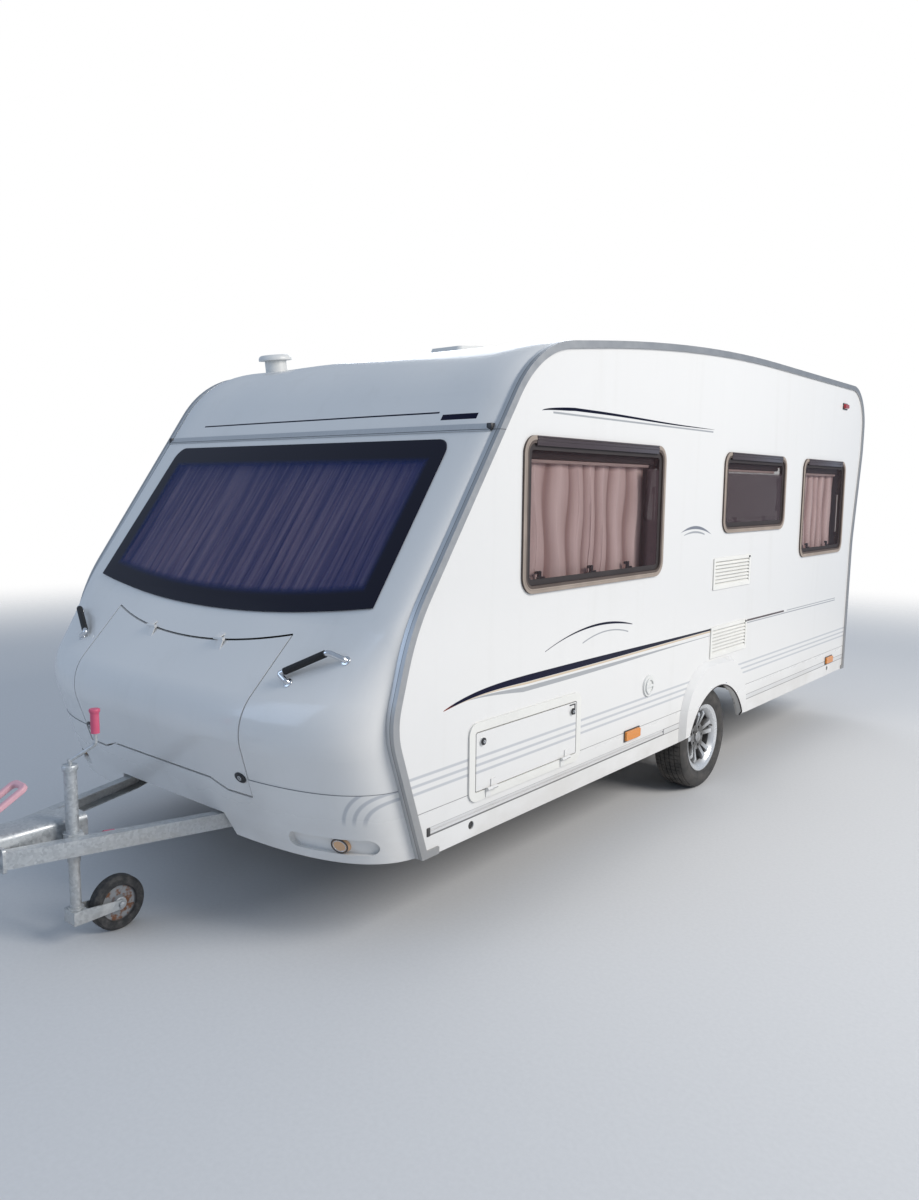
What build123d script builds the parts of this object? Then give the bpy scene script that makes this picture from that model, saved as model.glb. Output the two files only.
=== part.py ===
from build123d import *
import os
from math import asin, atan2, cos, degrees, radians, sin, sqrt

# A two-wheeled travel caravan, in millimetres. +Z is up, the hitch points along
# -Y and the long side with the fridge vents faces +X. The origin lies on the
# ground under the middle of the overall box. Stations are distances from the
# axle, towards the rear, and at() turns one into a Y coordinate.

os.makedirs("parts", exist_ok=True)

# Overall
OVERALL_LENGTH = 6600.0
REAR_OVERHANG = 2630.0
AXLE_Y = OVERALL_LENGTH / 2 - REAR_OVERHANG
SEAT_GAP = 0.3

# Body shell
BODY_WIDTH = 2300.0
WALL = 28.0
SHELL = 22.0
ROOF_CROWN = 18.0
ROOF_TOP = 2522.0
SKIRT_BOTTOM = 355.0
SKIRT_TOP = 535.0
SKIRT_THICKNESS = 18.0
FLOOR_THICKNESS = 40.0
FLOOR_FRONT = -2500.0
FLOOR_REAR = 2425.0
PANEL_END_GAP = 0.3
HALF = BODY_WIDTH / 2
INNER_HALF = HALF - WALL
FLOOR_TOP = SKIRT_TOP + FLOOR_THICKNESS

# Side outline of the body, from the front foot over the roof to the rear foot:
# station, height, corner radius.
FRONT_FOOT = (-2490.0, SKIRT_BOTTOM)
REAR_FOOT = (2455.0, SKIRT_BOTTOM)
OUTLINE_CORNERS = [
    (-2662.0, 880.0, 300.0),
    (-2555.0, 1240.0, 900.0),
    (-1799.0, 2336.0, 560.0),
    (-312.0, ROOF_TOP, 17000.0),
    (2612.0, ROOF_TOP, 300.0),
    (2603.0, 2040.0, 800.0),
    (2480.0, 1360.0, 800.0),
]
SEAM_Z = 1996.0
CREASE_Z = 640.0
ROOF_JOINT = -1450.0
REAR_JOINT_Z = 2190.0

# Front moulding: how far its middle stands ahead of the side outline at the
# foot, the belly corner, the waist corner and the seam under the roof cap.
FRONT_WALL = 30.0
FOOT_BULGE = 300.0
BELLY_BULGE = 290.0
WAIST_BULGE = 45.0
BELLY_MIDDLE_RADIUS = 200.0
WAIST_MIDDLE_RADIUS = 500.0
# Share of the bulge left at each section: x as a share of the half width,
# share low down, share beside the window.
FRONT_SECTIONS = [(0.0, 1.0, 1.0), (0.53, 0.96, 1.0), (0.80, 0.76, 0.98), (0.935, 0.46, 0.82), (1.0, 0.0, 0.0)]

# Front window
FRONT_WINDOW_TOP_HALF = 948.0
FRONT_WINDOW_LOW_HALF = 964.0
FRONT_WINDOW_TOP = 1937.0
FRONT_WINDOW_CORNER_Z = 1298.0
FRONT_WINDOW_SAG = 73.0
FRONT_WINDOW_LAP = 25.0
FRONT_PANE = 8.0

# Gas locker lid
LID_TOP_HALF = 625.0
LID_LOW_HALF = 598.0
LID_TOP = 1170.0
LID_SAG = 65.0
LID_BOTTOM = 600.0
LID_CORNER_DROP = 32.0
LID_GAP = 7.0
LID_HINGE_OUT = 20.0
LID_HINGE_Z = 1125.0
LID_AXIS_SURFACE = -2712.0
LID_STRAP = (-40.0, -80.0)
PANEL_STRAP = (62.0, 30.0)
LID_HINGES = 250.0
LOWER_PANEL_PROUD = 3.0

# Lower front panel: drawbar cut-out, lamps and the strip over the seam
NOTCH_TOP_HALF = 380.0
NOTCH_LOW_HALF = 430.0
NOTCH_TOP = 444.0
LAMP_X = 905.0
LAMP_Z = 424.0
LAMP_RECESS = (330.0, 64.0)
LAMP_DEPTH = 20.0
LAMP_OFFSET = 40.0
LAMP_RADIUS = 30.0
LAMP_THICKNESS = 17.0
SEAM_STRIP_HEIGHT = 30.0
SEAM_STRIP_THICKNESS = 5.0

# Gas locker behind the lid
GAS_LOCKER_HALF = 690.0
GAS_LOCKER_SKIN = 18.0
GAS_LOCKER_REAR = -2430.0
GAS_LOCKER_TOP = 1215.0
GAS_LOCKER_CLEARANCE = 7.0

# Awning rails
RAIL_FACE = 28.0
RAIL_OUT = 10.0
RAIL_LIP = 4.0

# Side windows: front station, rear station, sill height, head height.
WINDOW_CORNER = 68.0
WINDOW_HEAD = 1952.0
LOUNGE_WINDOW = (-1880.0, -670.0, 1312.0, WINDOW_HEAD)
KITCHEN_WINDOW = (69.0, 1006.0, 1504.0, WINDOW_HEAD)
REAR_SIDE_WINDOW = (1340.0, 2209.0, 1297.0, WINDOW_HEAD)
MIDDLE_WINDOW = (-430.0, 330.0, 1504.0, WINDOW_HEAD)
LEFT_WINDOWS = [LOUNGE_WINDOW, KITCHEN_WINDOW, REAR_SIDE_WINDOW]
RIGHT_WINDOWS = [LOUNGE_WINDOW, MIDDLE_WINDOW, REAR_SIDE_WINDOW]
CURTAINED = [LOUNGE_WINDOW, REAR_SIDE_WINDOW]
FRAME_FACE = 24.0
FRAME_FLANGE = 8.0
FRAME_PROUD = 9.0
PANE_THICKNESS = 16.0

# Curtains and their rails
CURTAIN_THICKNESS = 30.0
CURTAIN_STANDOFF = 14.0
CURTAIN_RAIL_HEIGHT = 18.0
CURTAIN_DROP = 18.0
CURTAIN_RAIL_OVERHANG = 20.0
FRONT_CURTAIN_STATION = -1985.0
FRONT_CURTAIN_TOP = 1925.0
FRONT_CURTAIN_DROP = 660.0

# Rear window
REAR_WINDOW_WIDTH = 1360.0
REAR_WINDOW_HEIGHT = 520.0
REAR_WINDOW_Z = 1700.0
REAR_SEAL = 0.6

# Number plate pad and lamps on the rear
PLATE_Z = 620.0
PLATE_PAD = (560.0, 150.0)
PLATE_PAD_PROUD = 10.0
REAR_LAMP_X = 800.0
REAR_LAMP_Z = 610.0
REAR_LAMP_SIZE = (380.0, 130.0)
REAR_LAMP_PROUD = 30.0
REAR_LENS_PROUD = 14.0
BRAKE_LAMP_DEPTH = 20.0
BRAKE_LAMP_SIZE = (420.0, 36.0)
BRAKE_LAMP_Z = 2150.0

# Places from which the openings of the nose are cut forwards
WINDOW_CUT_STATION = -1700.0
LID_CUT_STATION = -2400.0
LAMP_CUT_STATION = -2300.0
NOSE_CUT_DEPTH = 900.0
WINDOW_CUT_DEPTH = 1400.0

# Openings with a swinging leaf: front station, rear station, bottom, top.
LOCKER_FRAME_FACE = 37.0
LOCKER_FRAME_PROUD = 8.0
LOCKER_CORNER = 10.0
SIDE_LOCKER = (-2183.0, -1447.0, SKIRT_TOP, 783.0)
CASSETTE = (1700.0, 2030.0, 660.0, 950.0)
DOORWAY = (620.0, 1240.0, 590.0, 2330.0)
DOORWAY_CORNER = 70.0
DOOR_FRAME_FACE = 24.0
DOOR_FRAME_PROUD = 6.0
DOOR_WINDOW = (750.0, 1110.0, 1500.0, 2080.0)
LEAF_GAP = 5.0
LEAF_BACK = 5.0

# Hinges
HINGE_OUT = 10.0
BARREL_RADIUS = 7.0
BARREL_LENGTH = 32.0
BARREL_GAP = 0.5
HINGE_PIN_RADIUS = 3.5
PIN_CLEARANCE = 0.4
STRAP_REACH = 34.0
STRAP_THICKNESS = 4.0
DOOR_HINGE_HEIGHTS = [760.0, 1430.0, 2110.0]

# Door leaf details
DOOR_PANELS = [(700.0, 1010.0), (1070.0, 1380.0)]
DOOR_PANEL_CORNER = 30.0
DOOR_PANEL_DEPTH = 5.0
DOOR_HANDLE_INSET = 62.0
DOOR_HANDLE_Z = 1420.0
DOOR_HANDLE_PLATE = (60.0, 130.0)
DOOR_HANDLE_PLATE_PROUD = 7.0
DOOR_HANDLE_PROUD = 22.0
LOCK_INSET = 42.0
LOCK_RADIUS = 15.0
LOCK_PROUD = 6.0

# Fridge vents: middle station, middle height, width, height.
VENTS = [(232.0, 1264.0, 524.0, 182.0), (226.0, 866.0, 512.0, 182.0)]
VENT_SLATS = 7
VENT_PROUD = 7.0
VENT_FACE = 20.0
VENT_CORNER = 8.0
VENT_SLAT = 4.0
VENT_DEPTH = 12.0

# Small fittings on the side
WATER_INLET = (-757.0, 738.0)
WATER_INLET_DIAMETER = 116.0
WATER_INLET_FLANGE = 8.0
WATER_INLET_RIM = 7.0
WATER_INLET_BAR = 12.0
SIDE_MARKERS = [(-916.0, 515.0), (2100.0, 470.0)]
SIDE_MARKER_SIZE = (148.0, 50.0)
SIDE_MARKER_CORNER = 10.0
SIDE_MARKER_PROUD = 14.0
TOP_MARKER_SIZE = (92.0, 38.0)
TOP_MARKER_PROUD = 20.0
TOP_MARKER = (2137.0, 2362.0)
GROOVE_Z = 453.0
GROOVE_HEIGHT = 30.0
GROOVE_DEPTH = 4.0
GROOVE_SLOT = 8.0
GROOVE_SLOT_DEPTH = 10.0
GROOVE_FRONT = -2450.0
GROOVE_REAR = -560.0
STEADY_HOLE_DIAMETER = 34.0

# Grab handles
HANDLE_X = 807.0
HANDLE_STATION = -2764.0
HANDLE_Z = 1104.0
HANDLE_LENGTH = 260.0
HANDLE_SWEEP = 12.0
HANDLE_RADIUS = 14.0
HANDLE_POST = 10.0
HANDLE_STAND = 48.0
HANDLE_ROOT = 120.0
REAR_HANDLE_ROOT = 12.0
REAR_HANDLE_Z = 1080.0

# Roof fittings: x and station, and for rooflights size and height too.
MUSHROOM_VENT = (-970.0, -1430.0)
MUSHROOM_DIAMETER = 190.0
MUSHROOM_NECK_RADIUS = 62.0
MUSHROOM_NECK_HEIGHT = 70.0
MUSHROOM_CAP_HEIGHT = 30.0
MUSHROOM_CAP_EDGE = 22.0
ROOFLIGHTS = [(100.0, -1050.0, 280.0, 50.0), (0.0, 1150.0, 400.0, 60.0)]

# Wheels
TYRE_RADIUS = 298.0
TYRE_WIDTH = 185.0
RIM_RADIUS = 178.0
RIM_LIP_RADIUS = 196.0
WHEEL_FACE = 1130.0
SPOKES = 10
SPOKE_SPREAD = 12.0
SPOKE_HALF_WIDTH = 12.0
SPOKE_BACK = 1070.0
SPOKE_FACE = 1100.0
HUB_RADIUS = 78.0
HUB_BACK = 1040.0
HUB_FACE = 1082.0
WHEEL_BOLTS = 5
BOLT_CIRCLE_RADIUS = 56.0
BOLT_RECESS_RADIUS = 9.0
WHEEL_BORE_RADIUS = 34.0

# Wheel arches
ARCH_STATION = 50.0
ARCH_CENTRE_Z = 215.0
ARCH_RADIUS = 395.0
ARCH_MARGIN = 12.0
SPAT_HALF = 420.0
SPAT_FOOT_HALF = 437.0
SPAT_TOP = 766.0
SPAT_CORNER = 330.0
SPAT_PROUD = 34.0
SPAT_TAPER = 35.0
WHEEL_BOX_INNER = 858.0
WHEEL_BOX_RADIUS = 420.0
WHEEL_BOX_SKIN = 10.0

# Axle
AXLE_TUBE_STATION = -150.0
AXLE_TUBE_Z = 352.0
AXLE_TUBE_RADIUS = 52.0
AXLE_TUBE_HALF = 800.0
ARM_WIDTH = 60.0
DRUM_RADIUS = 116.0
DRUM_WIDTH = 84.0
STUB_RADIUS = 19.0
BACKING_PLATE = 8.0
SADDLE_HALF = 120.0
SADDLE_THICKNESS = 12.0

# Chassis
CHASSIS_HALF = 620.0
CHASSIS_WIDTH = 46.0
CHASSIS_BOTTOM = 428.0
CHASSIS_SHEET = 5.0
CHASSIS_FRONT = -2380.0
CHASSIS_REAR = 2400.0
CHASSIS_HOLES = 11
CHASSIS_HOLE_RADIUS = 28.0
CROSSMEMBERS = [-1870.0, -700.0, 900.0, 2250.0]
CROSSMEMBER_WIDTH = 50.0
CROSSMEMBER_DEPTH = 60.0

# Drawbar
DRAWBAR_DEPTH = 62.0
DRAWBAR_WIDTH = 46.0
DRAWBAR_LAP = -1900.0
DRAWBAR_BEND = -2100.0
DRAWBAR_TIP = -3560.0
DRAWBAR_TIP_HALF = 100.0
DRAWBAR_KNEE = -2780.0
DRAWBAR_TOP = 434.0
DRAWBAR_RISE = 70.0

# Coupling
BALL_RADIUS = 25.0
BALL_CLEARANCE = 0.5
BALL_STATION = -3880.0
BALL_Z = 447.0
SOCKET_THROAT = 14.0
SHAFT_RADIUS = 24.0
SHAFT_LENGTH = 200.0
COUPLING_NOSE = -3970.0
HEAD_REAR = -3740.0
HEAD_HALF = 48.0
GAITER_FOLDS = 7
GAITER_VALLEY = 31.0
GAITER_RIDGE = 40.0
LEVER_HALF = 14.0

# Grips
LOOP_STATION = -3500.0
LOOP_Z = 598.0
LOOP_TILT = 30.0
LOOP_SIZE = (110.0, 150.0)
LOOP_BAR = 24.0
LOOP_THICKNESS = 22.0
BRAKE_LEVER_THICKNESS = 8.0
BRAKE_LEVER_TIP = 9.0
BRAKE_LEVER_FOOT = (-3590.0, 450.0)
BRAKE_LEVER_HEAD = (-3700.0, 640.0)
HOUSING_LENGTH = 330.0
HOUSING_HEIGHT = 96.0
HOUSING_CORNER = 22.0
HOUSING_DROP = 14.0
FLANGE_THICKNESS = 12.0
FLANGE_LIP = 30.0
FLANGE_BOLT_RADIUS = 6.5
BUSH_WALL = 14.0
BUSH_LENGTH = 40.0

# Jockey wheel
JOCKEY_X = 125.0
JOCKEY_TRAVEL = 150.0
JOCKEY_FORK_TOP = 140.0
JOCKEY_INNER_LENGTH = 330.0
JOCKEY_CROWN_RADIUS = 28.0
JOCKEY_PIN_RADIUS = 8.0
JOCKEY_FORK_GAP = 5.0
JOCKEY_FORK_PLATE = 5.0
JOCKEY_FORK_EYE = 18.0
JOCKEY_FORK_DEPTH = 52.0
CRANK_RADIUS = 7.0
CRANK_REACH = 103.0
CRANK_TURN = 53.0
CRANK_RISE = 95.0
CRANK_GRIP_Z = 828.0
CRANK_GRIP_LENGTH = 85.0
CRANK_GRIP_RADIUS = 16.0
TOGGLE_RADIUS = 7.0
TOGGLE_LENGTH = 90.0
TOGGLE_SLOPE = 8.0
TOGGLE_GRIP_RADIUS = 13.0
TOGGLE_GRIP_LENGTH = 44.0
JOCKEY_STATION = -3315.0
JOCKEY_TUBE_RADIUS = 24.0
JOCKEY_TUBE_WALL = 3.0
JOCKEY_COLLAR = 14.0
JOCKEY_GEAR_HEIGHT = 22.0
JOCKEY_CLAMP_WALL = 11.0
JOCKEY_TUBE_TOP = 690.0
JOCKEY_TUBE_BOTTOM = 330.0
JOCKEY_CLAMP_Z = 412.0
JOCKEY_CLAMP_HEIGHT = 60.0
JOCKEY_WHEEL_RADIUS = 108.0
JOCKEY_WHEEL_WIDTH = 58.0
JOCKEY_TRAIL = 165.0
JOCKEY_RUNNING_GAP = 0.4

# Corner steadies: a leg whose middle hangs on a strut of half its length, so
# that its foot drops straight down below the strut's upper pin.
STEADY_STATIONS = [-2197.0, 2080.0]
STEADY_SPINDLE_Z = 406.0
STEADY_SPINDLE_RADIUS = 6.0
STEADY_PIVOT_X = 1085.0
STEADY_PIVOT_Z = 385.0
STEADY_HALF_LEG = 195.0
STEADY_STRUT_HALF_WIDTH = 12.0
STEADY_STRUT_HALF_DEPTH = 9.0
STEADY_CHEEK = 4.0
STEADY_CHEEK_GAP = 1.5
STEADY_LEG_INNER = 24.0
STEADY_LEG_PLATE = 6.0
STEADY_LEG_HALF_DEPTH = 13.0
STEADY_HEEL = 40.0
STEADY_SHOE_RADIUS = 12.0
STEADY_SHOE_HALF = 45.0
STEADY_PIN_RADIUS = 5.0
STEADY_CHANNEL_INNER = 36.0
STEADY_CHANNEL_TOP = 428.0
STEADY_CHANNEL_END = 672.0


def at(station):
    """Y coordinate of a station measured from the axle."""
    return AXLE_Y + station


def write(piece, name):
    """Label a finished piece and write its file."""
    piece.part.label = name
    export_step(piece.part, f"parts/{name}.step")


def side_plane(x):
    """Plane facing +X, drawn in Y and Z."""
    return Plane.YZ.offset(x)


def front_plane(y):
    """Plane facing -Y, drawn in X and Z."""
    return Plane.XZ.offset(-y)


def rear_plane(y, z=0.0, tilt=0.0):
    """Plane facing the rear, drawn in -X and Z, with its normal tilted down."""
    return Plane(origin=(0, y, z), x_dir=(-1, 0, 0), z_dir=(0, cos(radians(tilt)), -sin(radians(tilt))))


def body_outline(outset=0.0):
    """Closed side outline of the body, grown or shrunk by outset."""
    points = [(at(FRONT_FOOT[0]), FRONT_FOOT[1])]
    points += [(at(station), z) for station, z, radius in OUTLINE_CORNERS]
    points += [(at(REAR_FOOT[0]), REAR_FOOT[1])]
    with BuildSketch(Plane.YZ) as outline:
        with BuildLine():
            side = FilletPolyline(*points, radius=[radius for station, z, radius in OUTLINE_CORNERS])
            Line(side @ 1, side @ 0)
        make_face()
        if outset:
            offset(amount=outset, kind=Kind.INTERSECTION)
    return outline.sketch


def panel_box(station_a, station_b, z_a, z_b, corner, plane, grow=0.0):
    """Rounded rectangle between two stations and two heights, grown by grow."""
    with BuildSketch(plane) as box:
        with Locations((at((station_a + station_b) / 2), (z_a + z_b) / 2)):
            RectangleRounded(station_b - station_a + 2 * grow, z_b - z_a + 2 * grow, corner + grow)
    return box.sketch


def yz_polygon(points, x=0.0):
    """Closed polygon of station and height pairs."""
    with BuildSketch(side_plane(x)) as polygon:
        with BuildLine():
            Polyline(*[(at(station), z) for station, z in points], close=True)
        make_face()
    return polygon.sketch


def mirrored(piece):
    """The same piece on the other side of the caravan."""
    with BuildPart() as other:
        mirror(piece.part, about=Plane.YZ)
    return other


# Front moulding: sections at fixed x, each a strip of lines and arcs whose
# bulge fades towards the side walls, where it meets the outline of the body.
waist_slope = atan2(OUTLINE_CORNERS[2][1] - OUTLINE_CORNERS[1][1], OUTLINE_CORNERS[2][0] - OUTLINE_CORNERS[1][0])
seam_station = OUTLINE_CORNERS[1][0] + (SEAM_Z - OUTLINE_CORNERS[1][1]) / sin(waist_slope) * cos(waist_slope)
SEAM_BULGE = ROOF_CROWN / sin(waist_slope)


def front_shell(outset, depth):
    """Front moulding from foot to seam, its outer face moved forward by outset."""
    half_width = INNER_HALF - PANEL_END_GAP
    sections = []
    stations = [(-share, low, high) for share, low, high in reversed(FRONT_SECTIONS[1:])] + FRONT_SECTIONS
    for share, low, high in stations:
        outer = [
            (at(FRONT_FOOT[0] - FOOT_BULGE * low - outset), FRONT_FOOT[1]),
            (at(OUTLINE_CORNERS[0][0] - BELLY_BULGE * low - outset), OUTLINE_CORNERS[0][1]),
            (at(OUTLINE_CORNERS[1][0] - WAIST_BULGE * high - outset), OUTLINE_CORNERS[1][1]),
            (at(seam_station - SEAM_BULGE * high - outset), SEAM_Z),
        ]
        inner = [(y + depth, z) for y, z in reversed(outer)]
        belly = OUTLINE_CORNERS[0][2] + (BELLY_MIDDLE_RADIUS - OUTLINE_CORNERS[0][2]) * low
        waist = OUTLINE_CORNERS[1][2] + (WAIST_MIDDLE_RADIUS - OUTLINE_CORNERS[1][2]) * low
        with BuildSketch(side_plane(share * half_width)) as section:
            with BuildLine():
                face = FilletPolyline(*outer, radius=[belly, waist])
                back = FilletPolyline(*inner, radius=[waist, belly])
                Line(face @ 1, back @ 0)
                Line(back @ 1, face @ 0)
            make_face()
        sections.append(section.sketch.faces()[0])
    with BuildPart() as shell:
        loft(sections)
    return shell.part


def front_window_outline(shrink):
    """Outline of the front window in the X-Z plane, with its low edge sagging."""
    with BuildSketch(front_plane(at(WINDOW_CUT_STATION))) as outline:
        with BuildLine():
            Line((-FRONT_WINDOW_LOW_HALF, FRONT_WINDOW_CORNER_Z), (-FRONT_WINDOW_TOP_HALF, FRONT_WINDOW_TOP))
            Line((-FRONT_WINDOW_TOP_HALF, FRONT_WINDOW_TOP), (FRONT_WINDOW_TOP_HALF, FRONT_WINDOW_TOP))
            Line((FRONT_WINDOW_TOP_HALF, FRONT_WINDOW_TOP), (FRONT_WINDOW_LOW_HALF, FRONT_WINDOW_CORNER_Z))
            ThreePointArc(
                (FRONT_WINDOW_LOW_HALF, FRONT_WINDOW_CORNER_Z),
                (0, FRONT_WINDOW_CORNER_Z - FRONT_WINDOW_SAG),
                (-FRONT_WINDOW_LOW_HALF, FRONT_WINDOW_CORNER_Z),
            )
        make_face()
        top_corners = outline.vertices().group_by(Axis.Y)[-1]
        low_corners = outline.vertices().group_by(Axis.Y)[0]
        fillet(top_corners, radius=60)
        fillet(low_corners, radius=110)
        if shrink:
            offset(amount=-shrink)
    return outline.sketch


def lid_outline(grow):
    """Outline of the gas locker lid in the X-Z plane."""
    with BuildSketch(front_plane(at(LID_CUT_STATION))) as outline:
        with BuildLine():
            ThreePointArc((-LID_TOP_HALF, LID_TOP), (0, LID_TOP - LID_SAG), (LID_TOP_HALF, LID_TOP))
            Line((LID_TOP_HALF, LID_TOP), (LID_LOW_HALF, LID_BOTTOM - LID_CORNER_DROP))
            Polyline(
                (LID_LOW_HALF, LID_BOTTOM - LID_CORNER_DROP),
                (LID_LOW_HALF - 140, LID_BOTTOM - LID_CORNER_DROP),
                (LID_LOW_HALF - 240, LID_BOTTOM),
                (240 - LID_LOW_HALF, LID_BOTTOM),
                (140 - LID_LOW_HALF, LID_BOTTOM - LID_CORNER_DROP),
                (-LID_LOW_HALF, LID_BOTTOM - LID_CORNER_DROP),
            )
            Line((-LID_LOW_HALF, LID_BOTTOM - LID_CORNER_DROP), (-LID_TOP_HALF, LID_TOP))
        make_face()
        if grow:
            offset(amount=grow)
    return outline.sketch


moulding = front_shell(0.0, FRONT_WALL)

with BuildPart() as front_panel:
    add(moulding)
    split(bisect_by=Plane.XY.offset(CREASE_Z), keep=Keep.TOP)
    extrude(lid_outline(LID_GAP), amount=NOSE_CUT_DEPTH, mode=Mode.SUBTRACT)
    extrude(front_window_outline(FRONT_WINDOW_LAP), amount=WINDOW_CUT_DEPTH, mode=Mode.SUBTRACT)
write(front_panel, "front_panel")

with BuildPart() as lid_blank:
    add(moulding)
    extrude(lid_outline(0.0), amount=NOSE_CUT_DEPTH, mode=Mode.INTERSECT)

with BuildPart() as front_window:
    add(front_shell(FRONT_PANE + SEAT_GAP, FRONT_PANE))
    extrude(front_window_outline(0.0), amount=WINDOW_CUT_DEPTH, mode=Mode.INTERSECT)
write(front_window, "front_window")

# Lower front panel with the cut-out for the drawbar and the lamp recesses.
recess_plane = front_plane(at(LAMP_CUT_STATION))
with BuildPart() as front_lower_panel:
    add(front_shell(LOWER_PANEL_PROUD, FRONT_WALL + LOWER_PANEL_PROUD))
    split(bisect_by=Plane.XY.offset(CREASE_Z), keep=Keep.BOTTOM)
    extrude(lid_outline(LID_GAP), amount=NOSE_CUT_DEPTH, mode=Mode.SUBTRACT)
    with BuildSketch(recess_plane) as notch:
        with BuildLine():
            Polyline(
                (-NOTCH_LOW_HALF, SKIRT_BOTTOM - 10),
                (-NOTCH_TOP_HALF, NOTCH_TOP),
                (NOTCH_TOP_HALF, NOTCH_TOP),
                (NOTCH_LOW_HALF, SKIRT_BOTTOM - 10),
                close=True,
            )
        make_face()
    extrude(amount=NOSE_CUT_DEPTH, mode=Mode.SUBTRACT)
    with BuildPart(mode=Mode.SUBTRACT):
        add(front_shell(40, 40 + LAMP_DEPTH))
        with BuildSketch(recess_plane):
            with Locations((LAMP_X, LAMP_Z), (-LAMP_X, LAMP_Z)):
                SlotOverall(*LAMP_RECESS)
        extrude(amount=NOSE_CUT_DEPTH, mode=Mode.INTERSECT)
write(front_lower_panel, "front_lower_panel")

with BuildPart() as front_lamps:
    add(front_shell(LAMP_THICKNESS - LAMP_DEPTH, LAMP_THICKNESS - SEAT_GAP))
    with BuildSketch(recess_plane):
        with Locations((LAMP_X + LAMP_OFFSET, LAMP_Z), (-LAMP_X - LAMP_OFFSET, LAMP_Z)):
            Circle(LAMP_RADIUS)
    extrude(amount=NOSE_CUT_DEPTH, mode=Mode.INTERSECT)
write(front_lamps, "front_lamps")

with BuildPart() as front_seam_strip:
    add(front_shell(SEAM_STRIP_THICKNESS, SEAM_STRIP_THICKNESS - SEAT_GAP))
    split(bisect_by=Plane.XY.offset(SEAM_Z - SEAM_STRIP_HEIGHT), keep=Keep.TOP)
write(front_seam_strip, "front_seam_strip")


# Roof and rear: a crowned shell of even thickness between the side walls.
def crowned_block(inset):
    """The body between the side walls with its crown, shrunk by inset."""
    faces = []
    for share, low, high in [(-share, low, high) for share, low, high in FRONT_SECTIONS[:0:-1]] + FRONT_SECTIONS:
        outline = body_outline(ROOF_CROWN * high - inset)
        faces.append(outline.moved(Location((share * (INNER_HALF - PANEL_END_GAP), 0, 0))).faces()[0])
    with BuildPart() as block:
        loft(faces)
    return block.part


with BuildPart() as crowned_body:
    add(crowned_block(0.0))
    add(crowned_block(SHELL), mode=Mode.SUBTRACT)


def shell_piece(region):
    """The part of the shell between the side walls that lies inside a region seen from the side."""
    with BuildPart() as piece:
        add(crowned_body.part)
        extrude(yz_polygon(region), amount=INNER_HALF, both=True, mode=Mode.INTERSECT)
    return piece.part


with BuildPart() as roof_cap:
    add(shell_piece([(-3000, SEAM_Z), (ROOF_JOINT, SEAM_Z), (ROOF_JOINT, 2800), (-3000, 2800)]))
write(roof_cap, "roof_cap")

with BuildPart() as roof_panel:
    add(
        shell_piece(
            [
                (ROOF_JOINT, 2100),
                (2000, 2100),
                (2000, REAR_JOINT_Z),
                (3000, REAR_JOINT_Z),
                (3000, 2800),
                (ROOF_JOINT, 2800),
            ]
        )
    )
write(roof_panel, "roof_panel")

# Rear panel with its window opening.
rear_low, rear_high = OUTLINE_CORNERS[6], OUTLINE_CORNERS[5]
REAR_TILT = degrees(atan2(rear_high[0] - rear_low[0], rear_high[1] - rear_low[1]))
rear_window_station = rear_low[0] + (REAR_WINDOW_Z - rear_low[1]) * (rear_high[0] - rear_low[0]) / (
    rear_high[1] - rear_low[1]
)


def rear_window_plane(outward):
    """Plane on the sloped rear face, moved outward from the outline."""
    tilt = radians(REAR_TILT)
    return rear_plane(
        at(rear_window_station) + outward * cos(tilt), REAR_WINDOW_Z - outward * sin(tilt), REAR_TILT
    )


def rear_foot_plane(z, outward):
    """Plane on the lower rear face at height z, moved outward from the outline."""
    run, rise = rear_low[0] - REAR_FOOT[0], rear_low[1] - REAR_FOOT[1]
    tilt = atan2(run, rise)
    station = REAR_FOOT[0] + (z - REAR_FOOT[1]) * run / rise
    return rear_plane(at(station) + outward * cos(tilt), z - outward * sin(tilt), degrees(tilt))


with BuildPart() as rear_panel:
    add(shell_piece([(2300, SKIRT_BOTTOM), (3000, SKIRT_BOTTOM), (3000, REAR_JOINT_Z), (2300, REAR_JOINT_Z)]))
    with BuildSketch(rear_window_plane(60)):
        RectangleRounded(REAR_WINDOW_WIDTH, REAR_WINDOW_HEIGHT, WINDOW_CORNER)
    extrude(amount=-160, mode=Mode.SUBTRACT)
    with BuildSketch(rear_foot_plane(PLATE_Z, ROOF_CROWN)):
        RectangleRounded(PLATE_PAD[0], PLATE_PAD[1], 12)
    extrude(amount=PLATE_PAD_PROUD)
write(rear_panel, "rear_panel")

# Side walls and skirts.
below_wall = [(-3000, 0), (3000, 0), (3000, SKIRT_TOP), (-3000, SKIRT_TOP)]


def arch_cut(radius):
    """Round cut over the wheel, in the plane of the side."""
    with BuildSketch(side_plane(HALF + 60)) as cut:
        with Locations((at(ARCH_STATION), ARCH_CENTRE_Z)):
            Circle(radius)
    return cut.sketch


def side_wall(windows, extra_openings):
    """One side wall with its windows and other openings cut through."""
    with BuildPart() as wall:
        extrude(body_outline(), amount=HALF)
        extrude(body_outline(), amount=INNER_HALF, mode=Mode.SUBTRACT)
        extrude(yz_polygon(below_wall), amount=HALF, mode=Mode.SUBTRACT)
        for front, rear, sill, head in windows:
            extrude(
                panel_box(front, rear, sill, head, WINDOW_CORNER, side_plane(HALF)), amount=-WALL, mode=Mode.SUBTRACT
            )
        for front, rear, low, high, corner in extra_openings:
            extrude(panel_box(front, rear, low, high, corner, side_plane(HALF)), amount=-WALL, mode=Mode.SUBTRACT)
        extrude(arch_cut(ARCH_RADIUS + ARCH_MARGIN), amount=-60 - WALL, mode=Mode.SUBTRACT)
    return wall


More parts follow.
